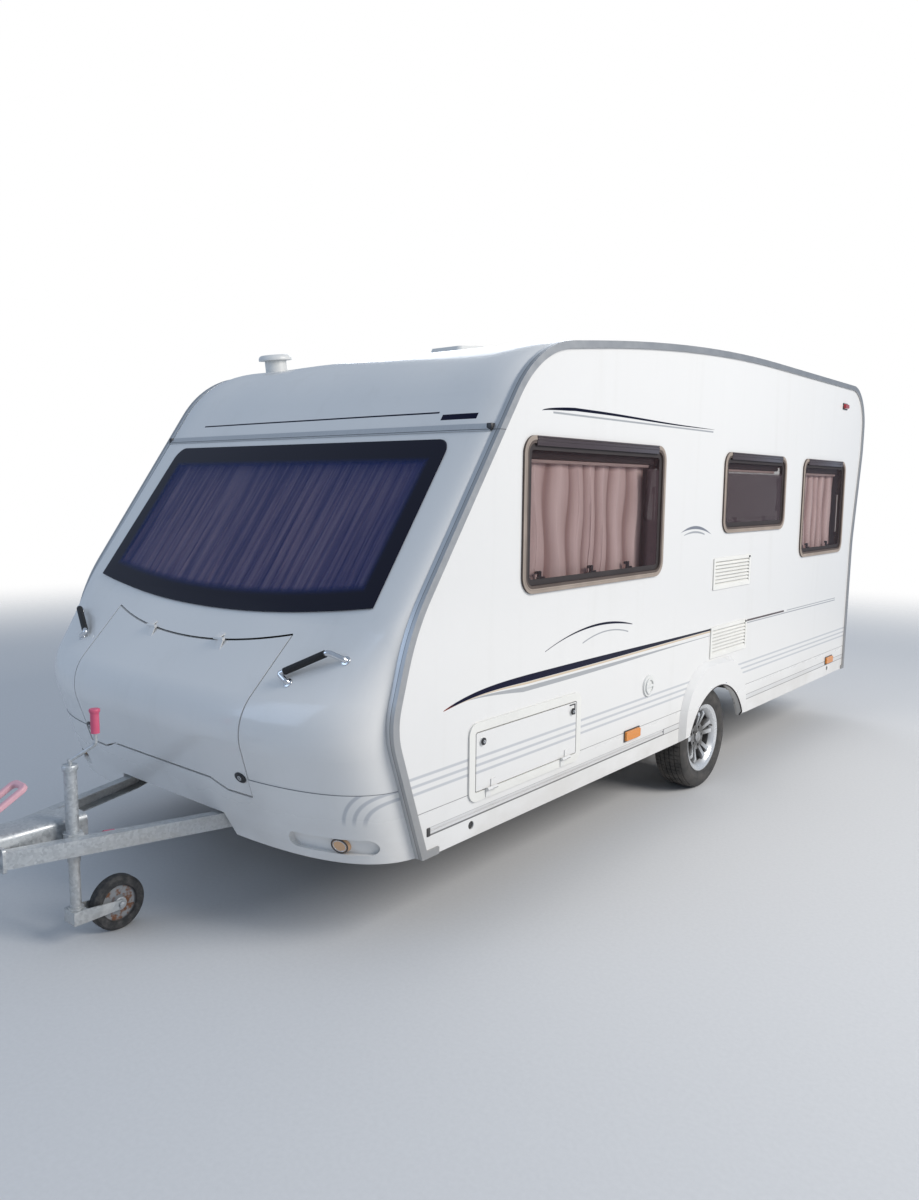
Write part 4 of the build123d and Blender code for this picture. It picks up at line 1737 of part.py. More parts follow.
# Corner steadies.
def steady_parts(station):
    """Frame, strut and leg of the left steady at a station, folded up."""
    y = at(station)
    pivot = (STEADY_PIVOT_X, STEADY_PIVOT_Z)
    middle = (STEADY_PIVOT_X - STEADY_HALF_LEG, STEADY_PIVOT_Z)
    nut = (STEADY_PIVOT_X - 2 * STEADY_HALF_LEG, STEADY_PIVOT_Z)
    shoe = (STEADY_PIVOT_X, STEADY_PIVOT_Z - STEADY_HEEL)
    cheek_inner = STEADY_STRUT_HALF_WIDTH + STEADY_CHEEK_GAP
    with BuildPart() as frame:
        with BuildSketch(front_plane(y)) as channel:
            with Locations(((STEADY_CHANNEL_END + INNER_HALF) / 2, STEADY_CHANNEL_TOP - STEADY_CHEEK / 2)):
                Rectangle(INNER_HALF - STEADY_CHANNEL_END, STEADY_CHEEK)
        extrude(channel.sketch, amount=STEADY_CHANNEL_INNER + STEADY_CHEEK, both=True)
        with BuildSketch(front_plane(y)) as flange:
            with BuildLine():
                Polyline(
                    (STEADY_CHANNEL_END, STEADY_CHANNEL_TOP),
                    (STEADY_CHANNEL_END, STEADY_PIVOT_Z - 4),
                    (STEADY_PIVOT_X - 60, STEADY_PIVOT_Z + 6),
                    (STEADY_PIVOT_X, STEADY_PIVOT_Z - 10),
                    (INNER_HALF, STEADY_PIVOT_Z - 10),
                    (INNER_HALF, STEADY_CHANNEL_TOP),
                    close=True,
                )
            make_face()
        extrude(flange.sketch, amount=STEADY_CHANNEL_INNER + STEADY_CHEEK, both=True)
        with BuildSketch(front_plane(y)) as inside:
            with Locations(((STEADY_CHANNEL_END + INNER_HALF) / 2, STEADY_CHANNEL_TOP - STEADY_CHEEK - 40)):
                Rectangle(INNER_HALF, 80)
        extrude(inside.sketch, amount=STEADY_CHANNEL_INNER, both=True, mode=Mode.SUBTRACT)
        with BuildSketch(front_plane(y)) as cheek:
            with Locations(pivot):
                Circle(13)
            with Locations((STEADY_PIVOT_X, STEADY_CHANNEL_TOP - STEADY_CHEEK)):
                Rectangle(44, 2)
            make_hull()
        extrude(cheek.sketch, amount=cheek_inner + STEADY_CHEEK, both=True)
        with BuildSketch(front_plane(y)) as between:
            with Locations((STEADY_PIVOT_X, STEADY_PIVOT_Z - 30)):
                Rectangle(60, 2 * (STEADY_CHANNEL_TOP - STEADY_CHEEK - STEADY_PIVOT_Z + 30), align=(Align.CENTER, Align.CENTER))
        extrude(between.sketch, amount=cheek_inner, both=True, mode=Mode.SUBTRACT)
        with BuildSketch(front_plane(y)) as pin:
            with Locations(pivot):
                Circle(STEADY_PIN_RADIUS)
        extrude(pin.sketch, amount=cheek_inner + STEADY_CHEEK + 2, both=True)
        with BuildSketch(side_plane(STEADY_CHANNEL_END)) as spindle:
            with Locations((y, STEADY_SPINDLE_Z + 6)):
                Circle(STEADY_SPINDLE_RADIUS)
        extrude(spindle.sketch, amount=INNER_HALF - STEADY_CHANNEL_END + 8)
        with BuildSketch(side_plane(STEADY_CHANNEL_END)) as inner_end:
            with Locations((y, STEADY_CHANNEL_TOP)):
                Rectangle(2 * STEADY_CHANNEL_INNER, 34, align=(Align.CENTER, Align.MAX))
        extrude(inner_end.sketch, amount=STEADY_CHEEK)
        with BuildSketch(front_plane(y)) as outrigger:
            with BuildLine():
                Polyline(
                    (CHASSIS_HALF + CHASSIS_WIDTH / 2 + SEAT_GAP, STEADY_CHANNEL_TOP),
                    (INNER_HALF - 4, STEADY_CHANNEL_TOP),
                    (INNER_HALF - 4, CHASSIS_TOP),
                    (CHASSIS_HALF + CHASSIS_WIDTH / 2 + SEAT_GAP, CHASSIS_TOP),
                    close=True,
                )
            make_face()
            with Locations(((CHASSIS_HALF + INNER_HALF) / 2 + 10, (CHASSIS_TOP + STEADY_CHANNEL_TOP) / 2)):
                with GridLocations(120, 0, 3, 1):
                    Circle(26, mode=Mode.SUBTRACT)
        extrude(outrigger.sketch, amount=3, both=True)
    with BuildPart() as strut:
        with BuildSketch(front_plane(y)) as bar:
            for end in (pivot, middle):
                with Locations(end):
                    Circle(STEADY_STRUT_HALF_DEPTH)
            make_hull()
            for end in (pivot, middle):
                with Locations(end):
                    Circle(STEADY_PIN_RADIUS + PIN_CLEARANCE, mode=Mode.SUBTRACT)
        extrude(bar.sketch, amount=STEADY_STRUT_HALF_WIDTH, both=True)
    with BuildPart() as leg:
        outer = STEADY_LEG_INNER + STEADY_LEG_PLATE
        for upper, lower in ((nut, middle), (middle, shoe)):
            with BuildSketch(front_plane(y)) as plate:
                for end in (upper, lower):
                    with Locations(end):
                        Circle(STEADY_LEG_HALF_DEPTH)
                make_hull()
            extrude(plate.sketch, amount=outer, both=True)
        with BuildSketch(front_plane(y)) as straddle:
            with Locations((STEADY_PIVOT_X - STEADY_HALF_LEG, STEADY_PIVOT_Z)):
                Rectangle(4 * STEADY_HALF_LEG, 4 * STEADY_HEEL)
        extrude(straddle.sketch, amount=STEADY_LEG_INNER, both=True, mode=Mode.SUBTRACT)
        for place, radius, reach in (
            (nut, STEADY_LEG_HALF_DEPTH - 2, outer),
            (middle, STEADY_PIN_RADIUS, outer + 2),
            (shoe, STEADY_SHOE_RADIUS, STEADY_SHOE_HALF),
        ):
            with BuildSketch(front_plane(y)) as cross:
                with Locations(place):
                    Circle(radius)
            extrude(cross.sketch, amount=reach, both=True)
    return frame, strut, leg


steadies = {place: steady_parts(station) for place, station in zip(("front", "rear"), STEADY_STATIONS)}
with BuildPart() as steady_frames:
    for place, (frame, strut, leg) in steadies.items():
        add(frame.part)
    mirror(about=Plane.YZ)
write(steady_frames, "steady_frames")
for place, (frame, strut, leg) in steadies.items():
    write(strut, f"steady_strut_{place}_left")
    write(leg, f"steady_leg_{place}_left")
    write(mirrored(strut), f"steady_strut_{place}_right")
    write(mirrored(leg), f"steady_leg_{place}_right")
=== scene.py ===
"""Travel caravan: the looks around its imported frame.

Lengths are metres in the frame's own axes: +Z up, the coupling towards -Y and the
fridge vents on the +X side, which is the side that the photograph shows. A station
is a distance behind the axle.
"""

import math
import random

import bmesh
import bpy
from bpy.props import FloatProperty, FloatVectorProperty, IntProperty, PointerProperty
from mathutils import Matrix, Vector


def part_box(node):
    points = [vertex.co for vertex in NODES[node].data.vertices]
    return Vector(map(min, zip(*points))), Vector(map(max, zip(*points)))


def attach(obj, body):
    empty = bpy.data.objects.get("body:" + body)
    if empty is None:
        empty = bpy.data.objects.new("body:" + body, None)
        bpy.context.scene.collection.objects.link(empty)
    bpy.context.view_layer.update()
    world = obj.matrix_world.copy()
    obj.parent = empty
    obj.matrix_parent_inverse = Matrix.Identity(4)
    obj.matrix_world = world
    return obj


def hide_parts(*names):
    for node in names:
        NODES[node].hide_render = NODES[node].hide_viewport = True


bl_info = {
    "name": "Travel caravan looks",
    "version": (1, 0, 0),
    "blender": (4, 5, 0),
    "location": "3D View > Sidebar > Caravan",
    "description": "Finishes, soft goods and small fittings of a travel caravan",
    "category": "Object",
}

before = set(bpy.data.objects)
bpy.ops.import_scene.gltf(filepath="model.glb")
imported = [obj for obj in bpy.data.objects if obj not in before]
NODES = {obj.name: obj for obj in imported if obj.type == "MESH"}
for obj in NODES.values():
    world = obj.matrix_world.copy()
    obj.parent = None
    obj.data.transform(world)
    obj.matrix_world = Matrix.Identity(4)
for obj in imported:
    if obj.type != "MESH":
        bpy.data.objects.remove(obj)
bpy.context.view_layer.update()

# Places read from the frame
TYRE_LOW, TYRE_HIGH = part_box("tyre_left")
AXLE_Y = (TYRE_LOW.y + TYRE_HIGH.y) / 2
AXLE_Z = (TYRE_LOW.z + TYRE_HIGH.z) / 2
TYRE_RADIUS = TYRE_HIGH.z - AXLE_Z
WALL_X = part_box("side_wall_left")[1].x
SKIRT_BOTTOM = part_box("skirts")[0].z
SKIRT_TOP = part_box("skirts")[1].z
FRONT_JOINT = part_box("front_lower_panel")[1].z

# Station of the jockey wheel's tube
JOCKEY_STATION = -3.315

# Stations and height of the holes that a crank for the steadies goes through
STEADY_HOLES = (-2.197, 2.080)
STEADY_HOLE_HEIGHT = 0.406

# The wheel arch in the spats: its centre's height, its radius, and its screws in degrees
ARCH_HEIGHT, ARCH_RADIUS = 0.215, 0.3955
SPAT_SCREWS = (24, 50, 76, 104, 130, 156)

# Points along a window corner, the edging of an arch and a lamp's rings
CORNER_STEPS, ARCH_STEPS, RING_STEPS = 8, 32, 40

# A roof fitting that is narrower than this is no rooflight
SMALLEST_ROOFLIGHT = 0.22

MIRROR_X = Matrix.Scale(-1, 4, (1, 0, 0))


# Shader maths


class Value:
    """A number in a node tree: arithmetic on it adds Math nodes."""

    def __init__(self, finish, socket):
        self.finish = finish
        self.socket = socket

    def __add__(self, other):
        return self.finish.maths("ADD", self, other)

    def __radd__(self, other):
        return self.finish.maths("ADD", other, self)

    def __sub__(self, other):
        return self.finish.maths("SUBTRACT", self, other)

    def __rsub__(self, other):
        return self.finish.maths("SUBTRACT", other, self)

    def __mul__(self, other):
        return self.finish.maths("MULTIPLY", self, other)

    def __rmul__(self, other):
        return self.finish.maths("MULTIPLY", other, self)

    def __truediv__(self, other):
        return self.finish.maths("DIVIDE", self, other)

    def __abs__(self):
        return self.finish.maths("ABSOLUTE", self)

    def __pow__(self, other):
        return self.finish.maths("POWER", self, other)


class Finish:
    """A material on the Principled shader, with its patterns in the frame's metres."""

    def __init__(self, name, **sockets):
        self.material = bpy.data.materials.new(name)
        self.material.use_nodes = True
        self.tree = self.material.node_tree
        self.shader = self.tree.nodes["Principled BSDF"]
        self.set(**sockets)
        self.place = self.node("ShaderNodeTexCoord").outputs["Object"]
        self.x, self.y, self.z = self.parts(self.place)

    def feed(self, socket, value):
        """Links a socket, or sets it where the value is a constant."""
        if isinstance(value, Value):
            value = value.socket
        if isinstance(value, bpy.types.NodeSocket):
            self.tree.links.new(value, socket)
        elif isinstance(value, tuple) and len(value) == 3 and socket.type == "RGBA":
            socket.default_value = (*value, 1.0)
        else:
            socket.default_value = value

    def set(self, **sockets):
        """Feeds the shader's sockets, named as in base_color or coat_weight."""
        for socket, value in sockets.items():
            title = socket.replace("_", " ").title().replace("Ior", "IOR")
            self.feed(self.shader.inputs[title], value)

    def done(self, colour, roughness, bump, **sockets):
        """Puts the patterns on the shader; bump is a height, its depth and its strength."""
        inputs = dict(zip(("Height", "Distance", "Strength"), bump))
        normal = self.node("ShaderNodeBump", inputs=inputs).outputs[0]
        self.set(base_color=colour, roughness=roughness, normal=normal, **sockets)
        return self.material

    def node(self, kind, settings=None, inputs=None):
        """Adds one node: its settings go in first, then what its sockets get."""
        made = self.tree.nodes.new(kind)
        for setting, value in (settings or {}).items():
            setattr(made, setting, value)
        for socket, value in (inputs or {}).items():
            self.feed(made.inputs[socket], value)
        return made

    def parts(self, vector):
        """The three numbers of a vector."""
        axes = self.node("ShaderNodeSeparateXYZ", inputs={0: vector}).outputs
        return [Value(self, axis) for axis in axes]

    def maths(self, operation, *values):
        made = self.node("ShaderNodeMath", {"operation": operation}, dict(enumerate(values)))
        return Value(self, made.outputs[0])

    def lowest(self, first, *others):
        for other in others:
            first = self.maths("MINIMUM", first, other)
        return first

    def highest(self, first, *others):
        for other in others:
            first = self.maths("MAXIMUM", first, other)
        return first

    def reach(self, across, up):
        """The length of the diagonal over two legs."""
        return (across * across + up * up) ** 0.5

    def waves(self, value, length):
        """Goes between -1 and 1 once in every length."""
        return self.maths("SINE", value * (2 * math.pi / length))

    def ramp(self, value, low, high):
        """Goes smoothly from 0 at low to 1 at high, also where high is the smaller."""
        made = self.node(
            "ShaderNodeMapRange",
            {"interpolation_type": "SMOOTHSTEP"},
            {"Value": value, "From Min": low, "From Max": high},
        )
        return Value(self, made.outputs[0])

    def band(self, value, middle, half, soft=0.0006):
        """1 within half of the middle, with an edge as soft as given."""
        return self.ramp(abs(value - middle), half + soft, half - soft)

    def noise(self, scale, detail=3.0, stretch=(1, 1, 1)):
        """Fractal noise, stretched along the axes where its scale is smaller."""
        moved = self.node("ShaderNodeMapping", inputs={"Vector": self.place, "Scale": stretch})
        values = {"Vector": moved.outputs[0], "Scale": scale, "Detail": detail, "Roughness": 0.55}
        return Value(self, self.node("ShaderNodeTexNoise", inputs=values).outputs[0])

    def cells(self, scale, output="Distance"):
        """Voronoi cells: how far a point is from a cell's middle, or the cell's own colour."""
        made = self.node("ShaderNodeTexVoronoi", inputs={"Vector": self.place, "Scale": scale})
        return Value(self, made.outputs[output])

    def blend(self, factor, first, second, how="MIX"):
        """A colour between two, the first at 0 and the second at 1; MULTIPLY tints the first."""
        settings = {"data_type": "RGBA", "blend_type": how}
        made = self.node("ShaderNodeMix", settings, {0: factor, 6: first, 7: second})
        return made.outputs[2]

    def painted(self, colour, layers):
        """A colour with layers of (mask, colour) over it, the last on top."""
        for mask, paint in layers:
            colour = self.blend(mask, colour, paint)
        return colour


# Modelling


def deselect():
    bpy.ops.object.select_all(action="DESELECT")


def only(*objects):
    """Selects these objects alone, with the first one active."""
    deselect()
    for obj in objects:
        obj.select_set(True)
    bpy.context.view_layer.objects.active = objects[0]


def linked(name, data):
    """A new object of the scene around a mesh, a curve, a lamp or a camera."""
    made = bpy.data.objects.new(name, data)
    bpy.context.scene.collection.objects.link(made)
    return made


def meshed(name, corners, edges, faces):
    """A new object around a mesh of these corners."""
    mesh = bpy.data.meshes.new(name)
    mesh.from_pydata(corners, edges, faces)
    return linked(name, mesh)


def settled(name):
    """Names the object that was just shaped and takes its place into its mesh."""
    bpy.ops.object.transform_apply(location=True, rotation=True, scale=True)
    made = bpy.context.object
    made.name = made.data.name = name
    return made


def modify(obj, kind, **settings):
    """Adds a modifier and applies it."""
    only(obj)
    modifier = obj.modifiers.new(kind.title(), kind)
    for setting, value in settings.items():
        setattr(modifier, setting, value)
    bpy.ops.object.modifier_apply(modifier=modifier.name)
    return obj


def rounded(obj, width, segments=2):
    """Bevels the edges that are sharper than 35 degrees."""
    return modify(obj, "BEVEL", width=width, segments=segments, angle_limit=math.radians(35))


def faces_where(obj, test):
    """In edit mode with faces selected where the test of their middle and normal holds."""
    only(obj)
    bpy.ops.object.mode_set(mode="EDIT")
    bpy.ops.mesh.select_mode(type="FACE")
    bpy.ops.mesh.select_all(action="DESELECT")
    mesh = bmesh.from_edit_mesh(obj.data)
    for face in mesh.faces:
        face.select_set(bool(test(face.calc_center_median(), face.normal)))
    bmesh.update_edit_mesh(obj.data)


def object_mode():
    bpy.ops.object.mode_set(mode="OBJECT")


def block(name, low, high, round_by=0.002, segments=2):
    """A block between two corners with rounded edges."""
    low, high = Vector(low), Vector(high)
    deselect()
    bpy.ops.mesh.primitive_cube_add(size=1, location=(low + high) / 2, scale=high - low)
    return rounded(settled(name), round_by, segments)


def along(direction):
    """The turn that points a primitive's own Z along a direction."""
    return Vector(direction).to_track_quat("Z", "Y").to_euler()


def disc(name, middle, direction, radius, height, sides=32, round_by=0.001):
    """A round or many-sided head that stands on its middle, with its rim rounded."""
    direction = Vector(direction).normalized()
    deselect()
    bpy.ops.mesh.primitive_cylinder_add(
        vertices=sides,
        radius=radius,
        depth=height,
        location=Vector(middle) + direction * height / 2,
        rotation=along(direction),
    )
    return rounded(settled(name), round_by)


def dome(name, middle, direction, radius, height, sides=16):
    """A low round cap: the upper half of a sphere, flattened to a height."""
    deselect()
    bpy.ops.mesh.primitive_uv_sphere_add(
        segments=sides, ring_count=12, radius=1, location=middle, rotation=along(direction)
    )
    bpy.context.object.scale = (radius, radius, height)
    bpy.ops.object.mode_set(mode="EDIT")
    bpy.ops.mesh.select_all(action="SELECT")
    bpy.ops.mesh.bisect(
        plane_co=middle, plane_no=Vector(direction), clear_inner=True, use_fill=True
    )
    object_mode()
    return settled(name)


def rod(name, points, radius, sides=4, closed=False, spline="POLY"):
    """A round bar along points; sides is half the number of its facets."""
    curve = bpy.data.curves.new(name, "CURVE")
    curve.dimensions = "3D"
    line = curve.splines.new(spline)
    line.points.add(len(points) - 1)
    for point, place in zip(line.points, points):
        point.co = (*place, 1)
    if spline == "NURBS":
        line.order_u = 3
        line.use_endpoint_u = True
    line.use_cyclic_u = closed
    curve.bevel_depth = radius
    curve.bevel_resolution = sides
    curve.use_fill_caps = not closed
    only(linked(name, curve))
    bpy.ops.object.convert(target="MESH")
    return settled(name)


def turned(name, profile, centre, axis=(1, 0, 0), steps=48, closed=False):
    """Spins a profile of (distance along the axis, radius) about an axis through a centre."""
    axis = Vector(axis)
    side = Vector((0, 0, 1)) if abs(axis.z) < 0.9 else Vector((0, 1, 0))
    corners = [Vector(centre) + axis * shift + side * radius for shift, radius in profile]
    edges = [(i, i + 1) for i in range(len(corners) - 1)]
    if closed:
        edges.append((len(corners) - 1, 0))
    only(meshed(name, corners, edges, []))
    bpy.ops.object.mode_set(mode="EDIT")
    bpy.ops.mesh.select_all(action="SELECT")
    bpy.ops.mesh.spin(steps=steps, angle=2 * math.pi, center=centre, axis=axis)
    bpy.ops.mesh.select_all(action="SELECT")
    bpy.ops.mesh.remove_doubles(threshold=0.00005)
    bpy.ops.mesh.normals_make_consistent(inside=False)
    object_mode()
    return settled(name)


def polar(radius, degrees):
    """The two legs of a radius at an angle."""
    angle = math.radians(degrees)
    return radius * math.cos(angle), radius * math.sin(angle)


def rounded_loop(low, high, corner):
    """Points round a rectangle in the plane X = low.x with rounded corners."""
    points = []
    for y, z, first in (
        (high.y - corner, high.z - corner, 0),
        (low.y + corner, high.z - corner, 90),
        (low.y + corner, low.z + corner, 180),
        (high.y - corner, low.z + corner, 270),
    ):
        for step in range(CORNER_STEPS + 1):
            out, up = polar(corner, first + 90 * step / CORNER_STEPS)
            points.append(Vector((low.x, y + out, z + up)))
    return points


def ring_band(name, outer, inner, thickness):
    """A flat band between two loops of points, raised along X by its thickness."""
    count = len(outer)
    quads = [(i, (i + 1) % count, count + (i + 1) % count, count + i) for i in range(count)]
    modify(meshed(name, [*outer, *inner], [], quads), "SOLIDIFY", thickness=thickness, offset=0)
    return rounded(settled(name), thickness / 4, 1)


def copied(obj, name, matrix):
    """A copy with its own mesh, moved or mirrored by a matrix."""
    made = obj.copy()
    made.data = obj.data.copy()
    bpy.context.scene.collection.objects.link(made)
    made.data.transform(matrix)
    if matrix.determinant() < 0:
        made.data.flip_normals()
    made.name = made.data.name = name
    return made


def joined(name, objects):
    """One object made of several."""
    only(*objects)
    if len(objects) > 1:
        bpy.ops.object.join()
    return settled(name)


def placed(obj, body, finish, smooth=35):
    """Gives a finished piece its material, shading and body."""
    obj.data.materials.clear()
    obj.data.materials.append(material(finish))
    only(obj)
    bpy.ops.object.shade_smooth_by_angle(angle=math.radians(smooth))
    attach(obj, body)


def hexagons(name, places, direction, radius, height):
    """Bolt heads on washers, one for each place."""
    direction = Vector(direction).normalized()
    heads = []
    for place in places:
        raised = Vector(place) + direction * height * 0.2
        heads += [
            disc("washer", place, direction, radius * 1.35, height * 0.22, 20, 0.0003),
            disc("head", raised, direction, radius, height, 6, height * 0.12),
        ]
    return joined(name, heads)


def widen(obj, middle, stretch):
    """Stretches a piece level about its middle, along the frame's X."""
    place = Matrix.Translation(middle)
    obj.data.transform(place @ Matrix.Diagonal((stretch, 1, 1, 1)) @ place.inverted())


def lock(name, place, direction, radius, stretch):
    """A turn lock: its black case with the key slit, and apart from that its bright barrel."""
    direction = Vector(direction).normalized()
    place = Vector(place)
    rim = disc("rim", place, direction, radius * 1.35, 0.0035, 40, 0.0012)
    widen(rim, place, stretch)
    collar = disc("collar", place, direction, radius, 0.0055, 36, 0.001)
    raised = place + direction * 0.005
    barrel = disc(f"{name}_barrel", raised, direction, radius * 0.62, 0.0025, 28, 0.0006)
    faces_where(barrel, lambda middle, normal: normal.dot(direction) > 0.95)
    bpy.ops.mesh.inset(thickness=radius * 0.18, depth=-0.0006)
    object_mode()
    slit = block("slit", (-0.0007, -radius * 0.3, 0.0), (0.0007, radius * 0.3, 0.0012), 0.0002, 1)
    turn = along(direction).to_matrix().to_4x4()
    slit.data.transform(Matrix.Translation(place + direction * 0.0066) @ turn)
    return joined(f"{name}_case", [rim, collar, slit]), barrel


# Places


def solids_of(node):
    """Lowest and highest corner of each separate solid of a node, the foremost first."""
    mesh = bmesh.new()
    mesh.from_mesh(NODES[node].data)
    bmesh.ops.remove_doubles(mesh, verts=mesh.verts, dist=0.00001)
    found, seen = [], set()
    for first in mesh.verts:
        if first in seen:
            continue
        seen.add(first)
        queue = [first]
        for vertex in queue:
            for edge in vertex.link_edges:
                other = edge.other_vert(vertex)
                if other not in seen:
                    seen.add(other)
                    queue.append(other)
        low = Vector([min(vertex.co[axis] for vertex in queue) for axis in range(3)])
        high = Vector([max(vertex.co[axis] for vertex in queue) for axis in range(3)])
        found.append((low, high))
    mesh.free()
    return sorted(found, key=lambda box: (box[0].y, box[0].x))


def surface(node, start, direction):
    """Where a line from start meets a node, and the way that its surface faces there."""
    hit, place, normal, _ = NODES[node].ray_cast(Vector(start), Vector(direction))
    if not hit:
        raise ValueError(f"the line from {tuple(start)} misses {node}")
    return place, normal


def on_front(node, x, z):
    return surface(node, (x, -4.0, z), (0, 1, 0))


def on_side(node, y, z, side=1):
    return surface(node, (side * 2.0, y, z), (-side, 0, 0))


def side_of(corner):
    """1 on the photograph's side and -1 on the other."""
    return 1 if corner.x > 0 else -1


# Finishes

NAVY = (0.004, 0.005, 0.030)
TIP_RED = (0.30, 0.045, 0.020)
CREAM_LINE = (0.62, 0.50, 0.36)
GREY_LINE = (0.36, 0.37, 0.38)
ARC_GREY = (0.19, 0.20, 0.23)
PALE_BAND = (0.52, 0.53, 0.55)
BROWN_LINE = (0.085, 0.055, 0.050)
DUST = (0.42, 0.38, 0.33)
LINING = (0.42, 0.37, 0.31)

# Stations where the main swoosh starts, where thin lines follow it, and where these end
SWOOSH_TIP, SWOOSH_END, LINES_END = -2.375, 0.47, 2.176
BAND_HEIGHTS = (0.679, 0.648, 0.618)
BAND_HALF, BAND_SOFT = 0.0055, 0.003

# The awning groove that runs in the skirts: its start and its two edges
GROOVE_START = -2.455
GROOVE_LOW, GROOVE_HIGH = 0.437, 0.467


def scaled(colour, by, lift=0.0):
    """A colour with its channels scaled and then lifted."""
    return tuple(min(1.0, channel * by + lift) for channel in colour)


def grey(level):
    return (level, level, level)


def chosen(name):
    """A colour of the settings."""
    return tuple(getattr(bpy.context.scene.caravan_looks, name))


def dusted(finish, colour, amount, top=0.62):
    """Road dust that thins out up to its top and gathers in patches."""
    patches = finish.noise(3.0, 5, stretch=(1, 1, 2.2))
    low = finish.ramp(finish.z, top, SKIRT_BOTTOM - 0.02)
    return finish.blend(low * finish.ramp(patches, 0.30, 0.75) * amount, colour, DUST)


def gelcoat(finish, colour, ink=None):
    """Gloss of the body: faint waves, rain streaks and dust low down, and deep dark ink."""
    streaks = finish.noise(9.0, 4, stretch=(1, 1, 0.06))
    mottle = finish.noise(1.3, 3)
    dirt = finish.ramp(streaks, 0.52, 0.80) * 0.10 + finish.ramp(mottle, 0.35, 0.85) * 0.05
    tint = finish.blend(dirt, colour, (0.70, 0.68, 0.62), "MULTIPLY")
    if ink is not None:
        finish.set(metallic=0.85 * ink, coat_weight=0.35 - 0.33 * ink)
    return finish.done(
        dusted(finish, tint, 0.30),
        0.16 + 0.10 * streaks + 0.25 * finish.ramp(finish.z, 0.62, 0.34),
        bump=(finish.noise(2.4, 2), 0.0016, 0.25),
    )


def body_white(name):
    return Finish(name, coat_weight=0.35, coat_roughness=0.06)


def stripe(finish, station, first, last, centre, half):
    """A stripe between two stations: its centre and half width can change along it."""
    share = (station - first) / (last - first)
    inside = finish.ramp(share, 0.0, 0.004) * finish.ramp(share, 1.0, 0.996)
    return finish.band(finish.z, centre, half, 0.0009) * inside


def main_swoosh(finish, station):
    """It climbs from a red tip, runs level and goes on to the rear as thin lines."""
    fall = finish.highest((-1.85 - station) / 0.525, 0.0)
    line = 0.946 - 0.044 * fall**3 - 0.0045 * finish.highest(station, 0.0)
    tip = finish.lowest((station - SWOOSH_TIP) / 0.55, 1.0)
    slim = finish.ramp(station, -1.6, 0.0)
    half = tip**0.5 * (0.0150 - 0.0095 * slim)
    edge = line - half
    cream = stripe(finish, station, -2.33, SWOOSH_END, edge - 0.006 * tip, 0.0045 * tip)
    tip = finish.lowest(finish.highest((station + 2.26) / 0.4, 0.0), 1.0)
    width = 0.0085 * tip * (1.2 - slim)
    shade = stripe(finish, station, -2.26, SWOOSH_END, edge - 0.030 * tip, width)
    ink = stripe(finish, station, SWOOSH_TIP, SWOOSH_END, line, half)
    warm = finish.ramp(station, -2.30, -2.37)
    return ink, [
        (shade, GREY_LINE),
        (cream, CREAM_LINE),
        (ink, finish.blend(warm, NAVY, TIP_RED)),
        (stripe(finish, station, SWOOSH_END, 1.12, line, 0.006), BROWN_LINE),
        (stripe(finish, station, SWOOSH_END, LINES_END, line - 0.015, 0.0035), GREY_LINE),
        (stripe(finish, station, 1.17, LINES_END, line, 0.0030), GREY_LINE),
    ]


def upper_leaf(finish, station):
    """The leaf over the lounge window, with a grey line for its shadow."""
    share = finish.highest(finish.lowest((station + 1.761) / 1.676, 1.0), 0.0)
    rise = finish.lowest(share / 0.15, 1.0)
    arch = 2.062 + 0.023 * rise**0.5 - 0.011 * finish.ramp(share, 0.25, 0.80)
    swell = 0.0075 * finish.lowest(share / 0.12, 1.0) ** 0.5 * (1.0 - share) ** 0.6
    ink = stripe(finish, station, -1.761, -0.085, arch, swell)
    return ink, [(stripe(finish, station, -1.68, -0.10, 2.061, 0.0042), GREY_LINE), (ink, NAVY)]


def small_swoosh(finish, station):
    """The small swoosh below the lounge window, with an arc under it."""
    share = finish.highest(finish.lowest((station + 1.702) / 0.761, 1.0), 0.0)
    across = station + 1.25
    rise = 1.113 - 0.35 * across * across
    swell = 0.0015 + 0.028 * share * share * (1.0 - share)
    ink = stripe(finish, station, -1.702, -0.941, rise, swell)
    across = station + 1.18
    under = 1.074 - 0.68 * across * across
    return ink, [(ink, NAVY), (stripe(finish, station, -1.40, -0.98, under, 0.0032), GREY_LINE)]


def short_arcs(finish, station):
    """Two short arcs between the lounge window and the kitchen window."""
    middle = (station + 0.262) / 0.190
    arc = 1.538 - 0.034 * middle * middle - 0.010 * middle
    swell = 0.0085 * finish.highest(1.0 - middle * middle, 0.0)
    return [
        (stripe(finish, station, -0.452, -0.072, arc, swell), ARC_GREY),
        (stripe(finish, station, -0.413, -0.160, arc - 0.025, 0.65 * swell), GREY_LINE),
    ]


def side_graphics(finish, colour):
    """What is painted along a side, and the mask of its dark ink."""
    station = finish.y - AXLE_Y
    swoosh, layers = main_swoosh(finish, station)
    for paint in (upper_leaf, small_swoosh):
        ink, more = paint(finish, station)
        swoosh = finish.highest(swoosh, ink)
        layers += more
    layers += short_arcs(finish, station)
    for height in BAND_HEIGHTS:
        layers.append((finish.band(finish.z, height, BAND_HALF, BAND_SOFT), PALE_BAND))
    return finish.painted(colour, layers), swoosh


